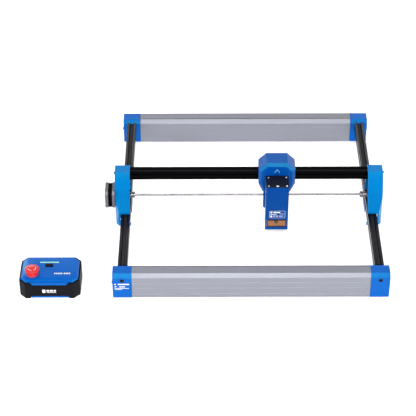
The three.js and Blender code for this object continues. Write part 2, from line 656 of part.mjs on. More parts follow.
// Finned heat sink that holds the laser diode, with the fins standing up into the duct.
function addLaserCore() {
  const { half: side, front, rear, wall } = MODULE;
  const { finPitch, finHalf, base, top } = HEAT_SINK;
  const low = MODULE_FLOOR[1] + GAP;
  const inset = wall + 1.5;
  const reach = side - inset;
  const parts = [block(HEAD_X - reach, HEAD_X + reach, front + inset, rear - inset, low, low + base)];
  for (let i = -3; i <= 3; i += 1) {
    const x = HEAD_X + i * finPitch;
    parts.push(block(x - finHalf, x + finHalf, front + inset, rear - inset, low + base - 1, top));
  }
  addPiece('laser_heat_sink', join(...parts), MATERIALS.silver);
}

function addNozzle() {
  const { tip, tipRadius, throat, throatRadius, shoulder, radius } = NOZZLE;
  const collar = MODULE_FLOOR[0] - GAP;
  const end = MODULE_FLOOR[1] - 0.2;
  const profile = [[0, tip], [tipRadius, tip], [throatRadius, throat], [radius, shoulder], [radius, collar]];
  profile.push([NOZZLE_SPIGOT, collar], [NOZZLE_SPIGOT, end], [0, end]);
  const geometry = turned(profile);
  geometry.rotateX(Math.PI / 2);
  geometry.translate(HEAD_X, moduleMiddleY, 0);
  addPiece('laser_nozzle', toSolid(geometry), MATERIALS.brass);
}

function addModuleWindow() {
  const reach = WINDOW.half - GAP;
  const face = MODULE.front + GAP;
  const pane = block(HEAD_X - reach, HEAD_X + reach, face, face + WINDOW.thickness,
    WINDOW.bottom + GAP, WINDOW.top - GAP);
  addPiece('module_window', pane, MATERIALS.amber);
}

function addModuleFan() {
  const { low, high, hubRadius, blades, blade, lean } = FAN;
  const parts = [rodZ(low, high, HEAD_X, moduleMiddleY, hubRadius)];
  for (let i = 0; i < blades; i += 1) {
    const geometry = new THREE.BoxGeometry(...blade);
    geometry.rotateX(lean);
    geometry.translate(blade[0], 0, 0);
    geometry.rotateZ((2 * Math.PI * i) / blades);
    geometry.translate(HEAD_X, moduleMiddleY, half(low + high));
    parts.push(toSolid(geometry));
  }
  addPiece('cooling_fan', join(...parts), MATERIALS.blackPlastic);
}

function addFocusKnob() {
  const back = HOUSING_FRONT.face + TONGUE.thickness + GAP;
  const grip = rodY(back, back + KNOB.length, HEAD_X, KNOB.z, KNOB.radius, 24);
  const stem = rodY(HOUSING_FRONT.face + 0.2, back + 1, HEAD_X, KNOB.z, 2);
  addPiece('focus_lock_knob', grip.add(stem), MATERIALS.blackPlastic);
}

// ---- control box --------------------------------------------------------

// Plan outline of the control box with its cut corners, drawn in by an inset.
function boxPlan(inset) {
  const { x, half: side, front, rear, corner } = BOX;
  const cut = corner - inset * 0.4;
  const left = x - side + inset;
  const right = x + side - inset;
  const low = front + inset;
  const high = rear - inset;
  return [
    [left + cut, low], [right - cut, low], [right, low + cut], [right, high - cut],
    [right - cut, high], [left + cut, high], [left, high - cut], [left, low + cut],
  ];
}

// An upright outline in (x, z), symmetrical about the box: narrow at one height, wide at another.
function boxTrapezium(lowHalf, low, highHalf, high) {
  const { x } = BOX;
  return [[x - lowHalf, low], [x + lowHalf, low], [x + highHalf, high], [x - highHalf, high]];
}

function addBoxBand() {
  const { front, rear, wall } = BOX;
  const { top, archHeight, archHalf, archSplay } = BOX_BAND;
  const { tabHalf, tabDrop } = LID;
  const band = prismZ(boxPlan(0), 0, top);
  const hollow = prismZ(boxPlan(wall), -5, top + 5);
  const arch = prismY(boxTrapezium(archHalf + archSplay, -1, archHalf, archHeight), front - 5, rear + 5);
  const tabRoom = boxTrapezium(tabHalf - 4, top - tabDrop - GAP, tabHalf + 1, top + 1);
  const tabSlot = prismY(tabRoom, front - 5, front + 8);
  const socketHole = block(SOCKET.x - half(SOCKET.width) - GAP, SOCKET.x + half(SOCKET.width) + GAP,
    rear - 5, rear + 5, SOCKET.z - half(SOCKET.height) - GAP, SOCKET.z + half(SOCKET.height) + GAP);
  const shell = band.subtract(join(hollow, arch, tabSlot, socketHole));
  addPiece('control_box_shell', shell, MATERIALS.blackPlastic);
}

// The floor of the box, with a slab that fills the arches at the front and the rear.
function addBoxBase() {
  const { bottom, archHeight, archHalf } = BOX_BAND;
  const floor = prismZ(boxPlan(BOX.wall + GAP), bottom, archHeight + 1);
  const slab = prismY(boxTrapezium(archHalf + 1.7, bottom, archHalf - 0.4, archHeight - 0.4),
    BOX.front + 0.8, BOX.rear - 0.8);
  addPiece('control_box_base', join(floor, slab), MATERIALS.bluePlastic);
}

const lidLow = BOX_BAND.top + GAP;
const lidTop = lidLow + LID.rise;

function addBoxLid() {
  const { inset, edgeInset, edgeRise, topInset, tabHalf, tabDrop } = LID;
  const lift = (plan, z) => plan.map(([px, py]) => new THREE.Vector3(px, py, z));
  const dome = toSolid(new ConvexGeometry([
    ...lift(boxPlan(inset), lidLow),
    ...lift(boxPlan(edgeInset), lidLow + edgeRise),
    ...lift(boxPlan(topInset), lidTop),
  ]));
  const hollow = prismZ(boxPlan(edgeInset + 4.5), lidLow - 1, lidTop - 2.5);
  const tab = prismY(boxTrapezium(tabHalf - 5, BOX_BAND.top - tabDrop, tabHalf, lidLow + 0.5),
    BOX.front + 0.6, BOX.front + 5.5);
  const ledHole = blockAt(LED_BAR, GAP, lidLow, lidTop + 1);
  const buttonHole = blockAt(POWER_BUTTON, GAP, lidLow, lidTop + 1);
  const stopHole = rodZ(lidLow - 1, lidTop + 1, ESTOP.x, ESTOP.y, ESTOP.neckRadius + GAP, 32);
  const lid = join(dome.subtract(hollow), tab).subtract(join(ledHole, buttonHole, stopHole));
  addPiece('control_box_lid', lid, MATERIALS.bluePlastic);
}

function addBoxControls() {
  addPiece('status_light', blockAt(LED_BAR, 0, lidTop - 3, lidTop + 0.3), MATERIALS.glow);
  addPiece('power_button', blockAt(POWER_BUTTON, 0, lidTop - 4, lidTop + 1.8), MATERIALS.blackPlastic);
}

function addBoxSocket() {
  const { x, z, width, height, wall } = SOCKET;
  const side = half(width);
  const rise = half(height);
  const openSide = side - wall;
  const openRise = rise - wall;
  const body = block(x - side, x + side, BOX.rear - 10, BOX.rear - 0.2, z - rise, z + rise);
  const mouth = block(x - openSide, x + openSide, BOX.rear - 7, BOX.rear + 1, z - openRise, z + openRise);
  addPiece('control_box_socket', body.subtract(mouth), MATERIALS.blackPlastic);
}

function addEmergencyStop() {
  const { x, y, neckRadius, collarRadius, collarTop, travel } = ESTOP;
  const { radius, top, postRadius } = ESTOP_HEAD;
  const headLow = collarTop + travel + 0.4;
  const ceiling = top - 2.6;
  const collar = rodZ(lidTop + GAP, collarTop, x, y, collarRadius, 32);
  const bore = rodZ(lidTop - 1, collarTop + 1, x, y, neckRadius + GAP, 32);
  addPiece('emergency_stop_collar', collar.subtract(bore), MATERIALS.red);
  const neck = rodZ(lidTop - 10, headLow - GAP, x, y, neckRadius, 32);
  const post = rodZ(headLow - 1, ceiling - GAP, x, y, postRadius);
  addPiece('emergency_stop_stem', neck.add(post), MATERIALS.red);
  const socket = postRadius + GAP;
  const profile = [[socket, headLow], [radius - 2, headLow], [radius, headLow + 1.2]];
  profile.push([radius - 0.4, headLow + 2.6]);
  profile.push([radius - 3, top - 0.5], [radius - 5, top], [0, top], [0, ceiling], [socket, ceiling]);
  profile.push([socket, headLow]);
  const geometry = turned(profile, 32);
  geometry.rotateX(Math.PI / 2);
  geometry.translate(x, y, 0);
  addPiece('emergency_stop_head', toSolid(geometry), MATERIALS.red);
}

// ---- the whole object ---------------------------------------------------

addBeam(-1, 'front_beam');
addBeam(1, 'rear_beam');
for (const [end, place] of [[-1, 'front'], [1, 'rear']]) {
  for (const side of SIDES) {
    addEndCap(end, side, `${place}_${sideName(side)}_cap`);
    addFoot(end, side, `${place}_${sideName(side)}_foot`);
  }
}
addCrossBeam();
addYMotor();
addDriveShaft();
for (const side of SIDES) {
  addRail(side);
  addRailBelt(side);
  addRailScrew(side);
  addCover(side);
  addSidePlate(side);
  addSideRollers(side);
  addSideBeltLoop(side);
}
addHousing();
addHeadPlate();
addHeadRollers();
addHeadDrive();
addModuleBody();
addModuleTop();
addLaserCore();
addNozzle();
addModuleWindow();
addModuleFan();
addFocusKnob();
addBoxBand();
addBoxBase();
addBoxLid();
addBoxControls();
addBoxSocket();
addEmergencyStop();

export default whole;
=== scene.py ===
import math

import bmesh
import bpy
from mathutils import Matrix, Vector


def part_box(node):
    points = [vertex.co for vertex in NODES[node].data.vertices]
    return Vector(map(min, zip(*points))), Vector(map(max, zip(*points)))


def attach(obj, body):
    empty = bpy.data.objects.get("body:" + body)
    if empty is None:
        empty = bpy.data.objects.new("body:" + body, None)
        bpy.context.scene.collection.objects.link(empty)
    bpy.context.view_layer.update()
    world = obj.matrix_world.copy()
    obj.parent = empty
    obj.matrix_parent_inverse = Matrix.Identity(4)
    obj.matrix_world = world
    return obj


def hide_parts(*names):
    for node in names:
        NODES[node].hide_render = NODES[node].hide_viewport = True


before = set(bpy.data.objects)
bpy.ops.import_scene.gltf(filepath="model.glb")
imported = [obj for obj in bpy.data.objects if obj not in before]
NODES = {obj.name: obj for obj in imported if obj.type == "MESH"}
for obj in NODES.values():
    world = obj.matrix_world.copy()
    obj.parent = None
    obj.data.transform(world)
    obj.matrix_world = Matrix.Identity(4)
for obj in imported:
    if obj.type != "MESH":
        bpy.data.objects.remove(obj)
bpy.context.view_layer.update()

MM = 0.001
X_AXIS = Vector((1, 0, 0))
Y_AXIS = Vector((0, 1, 0))
Z_AXIS = Vector((0, 0, 1))

# The camera stands in front of the machine and looks down on it.
CAMERA_PLACE = Vector((2.25, -2611.0, 2068.0)) * MM
CAMERA_PITCH = math.radians(38.325)
CAMERA_YAW = -0.00162
CAMERA_ROLL = 0.00147
CAMERA_LENS = 127.3
SENSOR_WIDTH = 36


# ---- materials ----------------------------------------------------------

# A noise pattern seldom leaves these bands, so what it drives is spread between their ends.
VALUE_BAND = (0.3, 0.7)
TINT_BAND = (0.35, 0.65)

# How much darker and lighter than its own colour each kind of material gets.
PLASTIC_SHADES = (0.95, 1.04)
METAL_SHADES = (0.94, 1.05)
RUBBER_SHADES = (0.85, 1.15)
ACRYLIC_SHADES = (0.9, 1.08)

# Noise scales: a larger number makes a finer pattern.
CLOUD_SCALE = 22
BRUSH_SCALE = 6
SPECKLE_SCALE = 900
ACRYLIC_SCALE = 60
FROST_SCALE = 150
PAPER_SCALE = 400

ACRYLIC_IOR = 1.49


def srgb(red, green, blue):
    """A colour given as 0-255 screen values, as the linear values that shaders use."""
    linear = []
    for value in (red, green, blue):
        part = value / 255
        linear.append(part / 12.92 if part <= 0.04045 else ((part + 0.055) / 1.055) ** 2.4)
    return (*linear, 1.0)


def shade(colour, factor):
    """A colour made darker or lighter, and opaque."""
    return (*(min(1.0, part * factor) for part in colour[:3]), 1.0)


def new_material(name):
    """A node material, with its shader and a texture coordinate node to build on."""
    material = bpy.data.materials.new(name)
    material.use_nodes = True
    tree = material.node_tree
    shader = tree.nodes["Principled BSDF"]
    place = tree.nodes.new("ShaderNodeTexCoord")
    return material, tree, shader, place


def noise(tree, place, scale, stretch=(1, 1, 1), detail=4):
    """A noise pattern in the piece's own metres; stretch scales it along each axis."""
    mapping = tree.nodes.new("ShaderNodeMapping")
    mapping.inputs["Scale"].default_value = stretch
    pattern = tree.nodes.new("ShaderNodeTexNoise")
    pattern.inputs["Scale"].default_value = scale
    pattern.inputs["Detail"].default_value = detail
    tree.links.new(place.outputs["Object"], mapping.inputs["Vector"])
    tree.links.new(mapping.outputs["Vector"], pattern.inputs["Vector"])
    return pattern


def spread(tree, pattern, low, high, socket):
    """Carries a 0-1 pattern to a socket as values from low to high."""
    remap = tree.nodes.new("ShaderNodeMapRange")
    remap.inputs["From Min"].default_value, remap.inputs["From Max"].default_value = VALUE_BAND
    remap.inputs["To Min"].default_value = low
    remap.inputs["To Max"].default_value = high
    tree.links.new(pattern.outputs["Fac"], remap.inputs["Value"])
    tree.links.new(remap.outputs["Result"], socket)


def tint(tree, pattern, dark, light, socket):
    """Mixes two colours by a pattern into a colour socket."""
    ramp = tree.nodes.new("ShaderNodeValToRGB")
    for stop, position, colour in zip(ramp.color_ramp.elements, TINT_BAND, (dark, light)):
        stop.position = position
        stop.color = colour
    tree.links.new(pattern.outputs["Fac"], ramp.inputs["Fac"])
    tree.links.new(ramp.outputs["Color"], socket)


def mottle(tree, pattern, colour, shades, socket):
    """Varies a colour between a darker and a lighter shade of itself."""
    darker, lighter = shades
    tint(tree, pattern, shade(colour, darker), shade(colour, lighter), socket)


def bump(tree, shader, pattern, distance, strength=0.5):
    """Raises a surface by a pattern; distance is the height of the relief in metres."""
    node = tree.nodes.new("ShaderNodeBump")
    node.inputs["Distance"].default_value = distance
    node.inputs["Strength"].default_value = strength
    tree.links.new(pattern.outputs["Fac"], node.inputs["Height"])
    tree.links.new(node.outputs["Normal"], shader.inputs["Normal"])


def moulded_plastic(name, colour, roughness, grain=2200, depth=0.03 * MM, shine=0.3, glint=(1, 1, 1, 1)):
    """Moulded plastic: a faint cloudiness in its colour and a fine spark-eroded grain.

    Shine is how much light the surface itself reflects, and glint is that light's colour.
    """
    material, tree, shader, place = new_material(name)
    clouds = noise(tree, place, CLOUD_SCALE)
    mottle(tree, clouds, colour, PLASTIC_SHADES, shader.inputs["Base Color"])
    fine = noise(tree, place, grain, detail=2)
    spread(tree, fine, roughness - 0.04, roughness + 0.06, shader.inputs["Roughness"])
    bump(tree, shader, fine, depth)
    shader.inputs["Specular IOR Level"].default_value = shine
    shader.inputs["Specular Tint"].default_value = glint
    return material


def brushed_metal(name, colour, roughness, stretch, metallic=1.0, depth=0.012 * MM, shine=0.5):
    """Metal with fine lines along the direction in which stretch is small."""
    material, tree, shader, place = new_material(name)
    lines = noise(tree, place, BRUSH_SCALE, stretch, detail=6)
    mottle(tree, lines, colour, METAL_SHADES, shader.inputs["Base Color"])
    spread(tree, lines, roughness - 0.05, roughness + 0.07, shader.inputs["Roughness"])
    bump(tree, shader, lines, depth, 0.35)
    shader.inputs["Metallic"].default_value = metallic
    shader.inputs["Specular IOR Level"].default_value = shine
    return material


def rubber(name, colour):
    """Dull rubber with a coarse speckle."""
    material, tree, shader, place = new_material(name)
    speckle = noise(tree, place, SPECKLE_SCALE, detail=3)
    mottle(tree, speckle, colour, RUBBER_SHADES, shader.inputs["Base Color"])
    spread(tree, speckle, 0.62, 0.8, shader.inputs["Roughness"])
    bump(tree, shader, speckle, 0.05 * MM, 0.6)
    return material


def tinted_acrylic(name, colour):
    """Laser-safe sheet: see-through, with faint cloudiness in its tint."""
    material, tree, shader, place = new_material(name)
    clouds = noise(tree, place, ACRYLIC_SCALE)
    mottle(tree, clouds, colour, ACRYLIC_SHADES, shader.inputs["Base Color"])
    spread(tree, clouds, 0.08, 0.14, shader.inputs["Roughness"])
    shader.inputs["Transmission Weight"].default_value = 0.95
    shader.inputs["IOR"].default_value = ACRYLIC_IOR
    return material


def light_guide(name, colour, strength):
    """A frosted bar lit from behind."""
    material, tree, shader, place = new_material(name)
    clouds = noise(tree, place, FROST_SCALE)
    mottle(tree, clouds, colour, PLASTIC_SHADES, shader.inputs["Base Color"])
    spread(tree, clouds, 0.35, 0.45, shader.inputs["Roughness"])
    shader.inputs["Emission Color"].default_value = colour
    shader.inputs["Emission Strength"].default_value = strength
    return material


# How a pattern is stretched: few cycles along the brushing, many across it.
ALONG_X = (3, 160, 160)
ALONG_Y = (160, 3, 160)
ALONG_Z = (160, 160, 3)
EVEN = (40, 40, 40)

# Heights of the surface grain.
POLISHED = 0.01 * MM
COARSE = 0.06 * MM

# The blue paints reflect light with a cyan cast.
CYAN_GLINT = (0.12, 1.0, 0.6, 1.0)

BLUE_PLASTIC = moulded_plastic("blue_plastic", srgb(0, 80, 176), 0.3, shine=0.4, glint=CYAN_GLINT)
# A darker copy of the blue plastic for the head housing: painted shade, standing in for the shade on the
# housing's front.
HEAD_BLUE_PAINTED_SHADE = moulded_plastic("head_blue_painted_shade", srgb(0, 68, 152), 0.3, shine=0.3, glint=CYAN_GLINT)
# A lighter copy of the blue plastic for the gantry covers: painted light, standing in for the light on the
# covers' front slopes.
COVER_BLUE_PAINTED_LIGHT = moulded_plastic("cover_blue_painted_light", srgb(0, 112, 182), 0.3, shine=0.2, glint=CYAN_GLINT)
BLUE_METAL = moulded_plastic("blue_anodised", srgb(0, 58, 138), 0.34, grain=3200, depth=POLISHED,
                             shine=0.2, glint=CYAN_GLINT)
BEAM_SILVER = brushed_metal("beam_silver", srgb(143, 145, 155), 0.5, ALONG_X, metallic=0.7)
STEEL = brushed_metal("ground_steel", srgb(138, 134, 139), 0.26, ALONG_X)
SCREW_STEEL = brushed_metal("screw_steel", srgb(205, 206, 212), 0.3, EVEN)
MOTOR_METAL = brushed_metal("motor_end_metal", srgb(116, 113, 118), 0.5, EVEN, metallic=0.7)
SINK_METAL = brushed_metal("heat_sink_metal", srgb(190, 192, 196), 0.35, ALONG_Z)
NOZZLE_BRASS = brushed_metal("nozzle_brass", srgb(30, 17, 8), 0.4, EVEN, metallic=0.3)
RAIL_BLACK = brushed_metal("rail_black", srgb(8, 7, 18), 0.2, ALONG_Y, metallic=0.0, shine=0.3)
CROSS_BLACK = brushed_metal("cross_beam_black", srgb(5, 5, 7), 0.36, ALONG_X, metallic=0.0, shine=0.02)
PLATE_BLACK = brushed_metal("plate_black", srgb(16, 16, 19), 0.42, ALONG_Z, metallic=0.0, shine=0.2)
SCREW_BLACK = brushed_metal("screw_black", srgb(22, 20, 20), 0.38, EVEN, metallic=0.0, shine=0.3)
BLACK_PLASTIC = moulded_plastic("black_plastic", srgb(21, 20, 25), 0.5, grain=1500, depth=COARSE,
                               shine=0.05)
DARK_PLASTIC = moulded_plastic("dark_plate", srgb(20, 23, 36), 0.4, shine=0.1)
ROLLER_PLASTIC = moulded_plastic("roller_plastic", srgb(22, 22, 24), 0.4)
STOP_RED = moulded_plastic("stop_red", srgb(207, 42, 44), 0.3, depth=POLISHED, shine=0.4)
MARK_WHITE = moulded_plastic("printed_white", srgb(230, 232, 238), 0.5, depth=POLISHED)
MARK_BLUE = moulded_plastic("printed_pale_blue", srgb(135, 195, 240), 0.5, depth=POLISHED)
MARK_PINK = moulded_plastic("printed_pink", srgb(238, 176, 174), 0.5, depth=POLISHED)
BELT_RUBBER = rubber("belt_rubber", srgb(20, 20, 22))
FOOT_RUBBER = rubber("foot_rubber", srgb(28, 28, 30))
AMBER = tinted_acrylic("amber_shield", srgb(170, 110, 58))
WINDOW_FRAME = moulded_plastic("window_frame", srgb(66, 28, 5), 0.45, shine=0.05)
LED_GREEN = light_guide("status_glow", srgb(150, 212, 170), 0.12)


# ---- mesh helpers -------------------------------------------------------

SHARP_ANGLE = math.radians(32)
WELD_DISTANCE = 0.02 * MM
SCREW_SINK = 0.2 * MM  # how far a screw head reaches into the surface that it sits on


def finish_piece(name, mesh, material, body):
    """Makes a mesh into a named piece that rides on a body."""
    mesh.materials.append(material)
    piece = bpy.data.objects.new(name, mesh)
    bpy.context.scene.collection.objects.link(piece)
    for polygon in mesh.polygons:
        polygon.use_smooth = True
    mesh.set_sharp_from_angle(angle=SHARP_ANGLE)
    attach(piece, body)
    return piece


def mesh_from(name, build):
    """A mesh filled by build(bm), with its faces pointing out."""
    bm = bmesh.new()
    build(bm)
    bmesh.ops.recalc_face_normals(bm, faces=bm.faces)
    mesh = bpy.data.meshes.new(name)
    bm.to_mesh(mesh)
    bm.free()
    return mesh


def round_edges(piece, width, segments=2, angle=30):
    """Rounds a piece's sharp edges with a modifier, which leaves a CAD mesh itself untouched."""
    bevel = piece.modifiers.new("rounded_edges", "BEVEL")
    bevel.width = width
    bevel.segments = segments
    bevel.limit_method = "ANGLE"
    bevel.angle_limit = math.radians(angle)
    bevel.use_clamp_overlap = True
    bevel.harden_normals = False
    normals = piece.modifiers.new("even_normals", "WEIGHTED_NORMAL")
    normals.keep_sharp = False


def dress(node, material, edge=0.0, segments=2, angle=30):
    """Gives a CAD node its finished material and rounded edges."""
    piece = NODES[node]
    piece.data.materials.clear()
    piece.data.materials.append(material)
    if edge:
        weld = piece.modifiers.new("weld", "WELD")
        weld.merge_threshold = WELD_DISTANCE
        round_edges(piece, edge, segments, angle)
        for polygon in piece.data.polygons:
            polygon.use_smooth = True


def frame_towards(axis):
    """A rotation that turns local +Z to the axis."""
    return Z_AXIS.rotation_difference(axis.normalized()).to_matrix().to_4x4()


def turned(name, rings, place, axis, material, body, segments=48):
    """A turned piece. Each ring is (radius, height); a radius may be a function of the angle.

    A ring of radius 0 is a point on the axis. A profile that starts and ends on the same ring
    closes on itself, as a washer does.
    """
    turn = Matrix.Translation(place) @ frame_towards(axis)

    def build(bm):
        rows = []
        for radius, height in rings:
            if radius == 0:
                rows.append([bm.verts.new(turn @ Vector((0, 0, height)))])
                continue
            row = []
            for i in range(segments):
                angle = 2 * math.pi * i / segments
                reach = radius(angle) if callable(radius) else radius
                spot = Vector((reach * math.cos(angle), reach * math.sin(angle), height))
                row.append(bm.verts.new(turn @ spot))
            rows.append(row)
        pairs = list(zip(rows, rows[1:]))
        if len(rows[0]) > 1:
            pairs.append((rows[-1], rows[0]))
        pairs = [pair for pair in pairs if max(map(len, pair)) > 1]
        for lower, upper in pairs:
            for i in range(segments):
                j = (i + 1) % segments
                corners = [lower[i % len(lower)], lower[j % len(lower)], upper[j % len(upper)],
                           upper[i % len(upper)]]
                bm.faces.new(list(dict.fromkeys(corners)))

    return finish_piece(name, mesh_from(name, build), material, body)


def prism(name, outline, place, across, up, depth, material, body, edge=0.0):
    """An outline in (across, up) raised by depth along the third axis, with softened edges."""
    normal = across.cross(up)

    def build(bm):
        base = [bm.verts.new(place + across * a + up * b) for a, b in outline]
        face = bm.faces.new(base)
        raised = bmesh.ops.extrude_face_region(bm, geom=[face])
        moved = [item for item in raised["geom"] if isinstance(item, bmesh.types.BMVert)]
        bmesh.ops.translate(bm, verts=moved, vec=normal * depth)
        if edge:
            bmesh.ops.bevel(bm, geom=list(bm.edges), offset=edge, segments=2, affect="EDGES",
                            clamp_overlap=True)

    return finish_piece(name, mesh_from(name, build), material, body)


def rectangle(width, height, radius=0.0, steps=4):
    """A centred rectangle with rounded corners, anticlockwise."""
    if not radius:
        return [(-width / 2, -height / 2), (width / 2, -height / 2),
                (width / 2, height / 2), (-width / 2, height / 2)]
    points = []
    for quarter, (sx, sy) in enumerate(((1, 1), (-1, 1), (-1, -1), (1, -1))):
        for i in range(steps + 1):
            angle = math.pi / 2 * (quarter + i / steps)
            points.append((sx * (width / 2 - radius) + radius * math.cos(angle),
                           sy * (height / 2 - radius) + radius * math.sin(angle)))
    return points


def hexagon(radius):
    """The distance from a hexagon's middle to its side, for each angle."""
    def reach(angle):
        part = angle % (math.pi / 3) - math.pi / 6
        return radius * math.cos(math.pi / 6) / math.cos(part)
    return reach


def button_screw(name, place, axis, radius, body, material=None):
    """A button-head screw with a hexagon socket; place is where the head meets the surface."""
    rise = radius * 0.55
    rings = [(0, -SCREW_SINK), (radius, -SCREW_SINK), (radius, rise * 0.25), (radius * 0.88, rise * 0.7),
             (radius * 0.66, rise), (hexagon(radius * 0.5), rise), (hexagon(radius * 0.47), rise * 0.3),
             (0, rise * 0.25)]
    return turned(name, rings, place, axis, material or SCREW_BLACK, body, segments=24)


def raised_screw(name, place, axis, radius, rise, body):
    """A cap screw whose cylindrical head stands on the surface at place."""
    rings = [(0, -SCREW_SINK), (radius, -SCREW_SINK), (radius, rise - 0.4 * MM), (radius - 0.4 * MM, rise),
             (hexagon(radius * 0.55), rise), (hexagon(radius * 0.5), rise * 0.4), (0, rise * 0.35)]
    return turned(name, rings, place, axis, SCREW_BLACK, body, segments=24)


def centre(node):
    """The middle of a CAD node's box."""
    low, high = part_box(node)
    return (low + high) / 2


# ---- frame --------------------------------------------------------------

CAP_SCREW_RADIUS = 4.5 * MM
CAP_SCREW_DEPTH = 3.4 * MM
CAP_SCREW_KEY = 2.5 * MM
SIDE_SCREW_DROP = 20 * MM  # below the rail screw
SIDE_SCREW_RADIUS = 3 * MM
SIDE_SCREW_RISE = 2.8 * MM


def dress_frame():
    """Brushed silver beams, black rails and blue caps with well rounded edges."""
    for node in ("front_beam", "rear_beam"):
        dress(node, BEAM_SILVER, edge=0.2 * MM)
    for node in ("left_rail", "right_rail"):
        dress(node, RAIL_BLACK, edge=0.45 * MM)
    for end in ("front", "rear"):
        for side in ("left", "right"):
            dress(f"{end}_{side}_cap", BLUE_PLASTIC, edge=1.6 * MM, segments=3)


def cap_screw(name, place, axis):
    """A socket-head screw sunk in a cap; place is the middle of its flat face."""
    radius, depth, key = CAP_SCREW_RADIUS, CAP_SCREW_DEPTH, CAP_SCREW_KEY
    rings = [(0, -depth), (radius, -depth), (radius, -0.4 * MM), (radius - 0.4 * MM, 0),
             (hexagon(key), 0), (hexagon(key - 0.1 * MM), -2 * MM), (0, -2.1 * MM)]
    return turned(name, rings, place, axis, SCREW_BLACK, "frame", segments=36)


def add_cap_screws():
    """The long screws that hold the rails, and the small ones on the caps' outer sides."""
    for side, away in (("left", -1), ("right", 1)):
        node = f"{side}_rail_screw"
        low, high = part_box(node)
        middle = (low + high) / 2
        front = cap_screw(f"front_{side}_cap_screw", Vector((middle.x, low.y, middle.z)), -Y_AXIS)
        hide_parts(node)
        cap_screw(f"rear_{side}_cap_screw", Vector((middle.x, -low.y, middle.z)), Y_AXIS)
        for end in ("front", "rear"):
            cap_low, cap_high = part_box(f"{end}_{side}_cap")
            outer = cap_high.x if away > 0 else cap_low.x
            spot = Vector((outer, (cap_low.y + cap_high.y) / 2, middle.z - SIDE_SCREW_DROP))
            raised_screw(f"{end}_{side}_side_screw", spot, X_AXIS * away, SIDE_SCREW_RADIUS,
                         SIDE_SCREW_RISE, "frame")


def add_feet():
    """Ribbed round rubber pads under the four corners."""
    for end in ("front", "rear"):
        for side in ("left", "right"):
            node = f"{end}_{side}_foot"
            low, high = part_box(node)
            radius = (high.x - low.x) / 2
            thick = high.z - low.z
            rings = [(0, thick), (radius - 0.6 * MM, thick), (radius, thick - 0.5 * MM), (radius, 0.4 * MM),
                     (radius - 0.5 * MM, 0), (radius - 3 * MM, 0), (radius - 3.5 * MM, 0.5 * MM),
                     (radius - 5 * MM, 0.5 * MM), (radius - 5.5 * MM, 0), (0, 0)]
            place = Vector(((low.x + high.x) / 2, (low.y + high.y) / 2, low.z))
            pad = turned(f"{node}_pad", rings, place, Z_AXIS, FOOT_RUBBER, "frame")
            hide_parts(node)


# ---- belts, rollers and pulleys -----------------------------------------

BELT_PITCH = 2 * MM
AXLE_RADIUS = 2.6 * MM
ROLLER_TREAD = 1.5 * MM  # half of the flat strip round a roller
PULLEY_HALF = 4.3 * MM
PULLEY_BORE = 2.8 * MM
SET_SCREW_SIDE = Vector((0, -0.6, 0.8))


def add_toothed_belt(node, body, run):
    """A flat belt with its teeth, lying along run (X or Y)."""
    low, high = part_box(node)
    side = Y_AXIS if run == X_AXIS else X_AXIS
    length = (high - low).dot(run)
    width = (high - low).dot(side)
    thick = high.z - low.z
    tooth = thick * 0.45
    outline = [(0, 0)]
    for i in range(int(length / BELT_PITCH)):
        start = i * BELT_PITCH
        outline += [(start + 0.3 * MM, 0), (start + 0.6 * MM, -tooth), (start + 1.4 * MM, -tooth),
                    (start + 1.7 * MM, 0)]
    outline += [(length, 0), (length, thick - tooth), (0, thick - tooth)]
    start = Vector((low.x, low.y, low.z + tooth))
    if run == Y_AXIS:
        across, place = Y_AXIS, start
    else:
        across, place = X_AXIS, start + side * width
    belt = prism(f"{node}_toothed", outline, place, across, Z_AXIS, width, BELT_RUBBER, body)
    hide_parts(node)


def mirrored(half):
    """A whole turned profile from its upper half, which starts at the rim and ends at the bore."""
    return [(radius, -height) for radius, height in reversed(half)] + half


def add_roller(node, body, axis):
    """A V roller with its two bearings."""
    low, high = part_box(node)
    middle = (low + high) / 2
    radius = (high.z - low.z) / 2
    wide = (high - low).dot(axis) / 2
    half = [(radius, ROLLER_TREAD), (radius - 0.3 * MM, ROLLER_TREAD + 0.4 * MM), (radius * 0.74, wide),
            (radius * 0.58, wide), (radius * 0.56, wide - 0.6 * MM), (radius * 0.44, wide - 0.6 * MM),
            (radius * 0.42, wide), (AXLE_RADIUS, wide)]
    rings = mirrored(half)
    roller = turned(f"{node}_v_wheel", rings, middle, axis, ROLLER_PLASTIC, body)
    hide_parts(node)


def pulley_teeth(radius, count=20, depth=0.7 * MM):
    """The radius of a toothed drum, for each angle."""
    def reach(angle):
        return radius - depth * max(0.0, math.cos(count * angle)) ** 0.5
    return reach


def add_pulley(node, body, axis):
    """A 20-tooth belt pulley between its flanges."""
    low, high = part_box(node)
    middle = centre(node)
    if node == "head_pulley":
        middle.y = centre("head_belt_loop").y
    radius = (high.z - low.z) / 2
    wide = PULLEY_HALF
    half = [(pulley_teeth(radius * 0.82), wide - 1.1 * MM), (radius, wide - 0.9 * MM),
            (radius, wide - 0.2 * MM), (radius - 0.3 * MM, wide), (PULLEY_BORE, wide)]
    pulley = turned(f"{node}_toothed", mirrored(half), middle, axis, STEEL, body,
                    segments=120)
    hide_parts(node)


def add_drive_line():
    """The ground shaft across the gantry and the two clamping couplings on it."""
    low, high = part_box("drive_shaft")
    start = Vector((low.x, (low.y + high.y) / 2, (low.z + high.z) / 2))
    radius = (high.z - low.z) / 2
    length = high.x - low.x
    chamfer = 0.4 * MM
    rings = [(0, 0), (radius - chamfer, 0), (radius, chamfer), (radius, length - chamfer),
             (radius - chamfer, length), (0, length)]
    shaft = turned("ground_drive_shaft", rings, start, X_AXIS, STEEL, "drive_line")
    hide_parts("drive_shaft")
    for node in ("left_coupling", "right_coupling"):
        add_coupling(node, start, radius + 0.05 * MM)


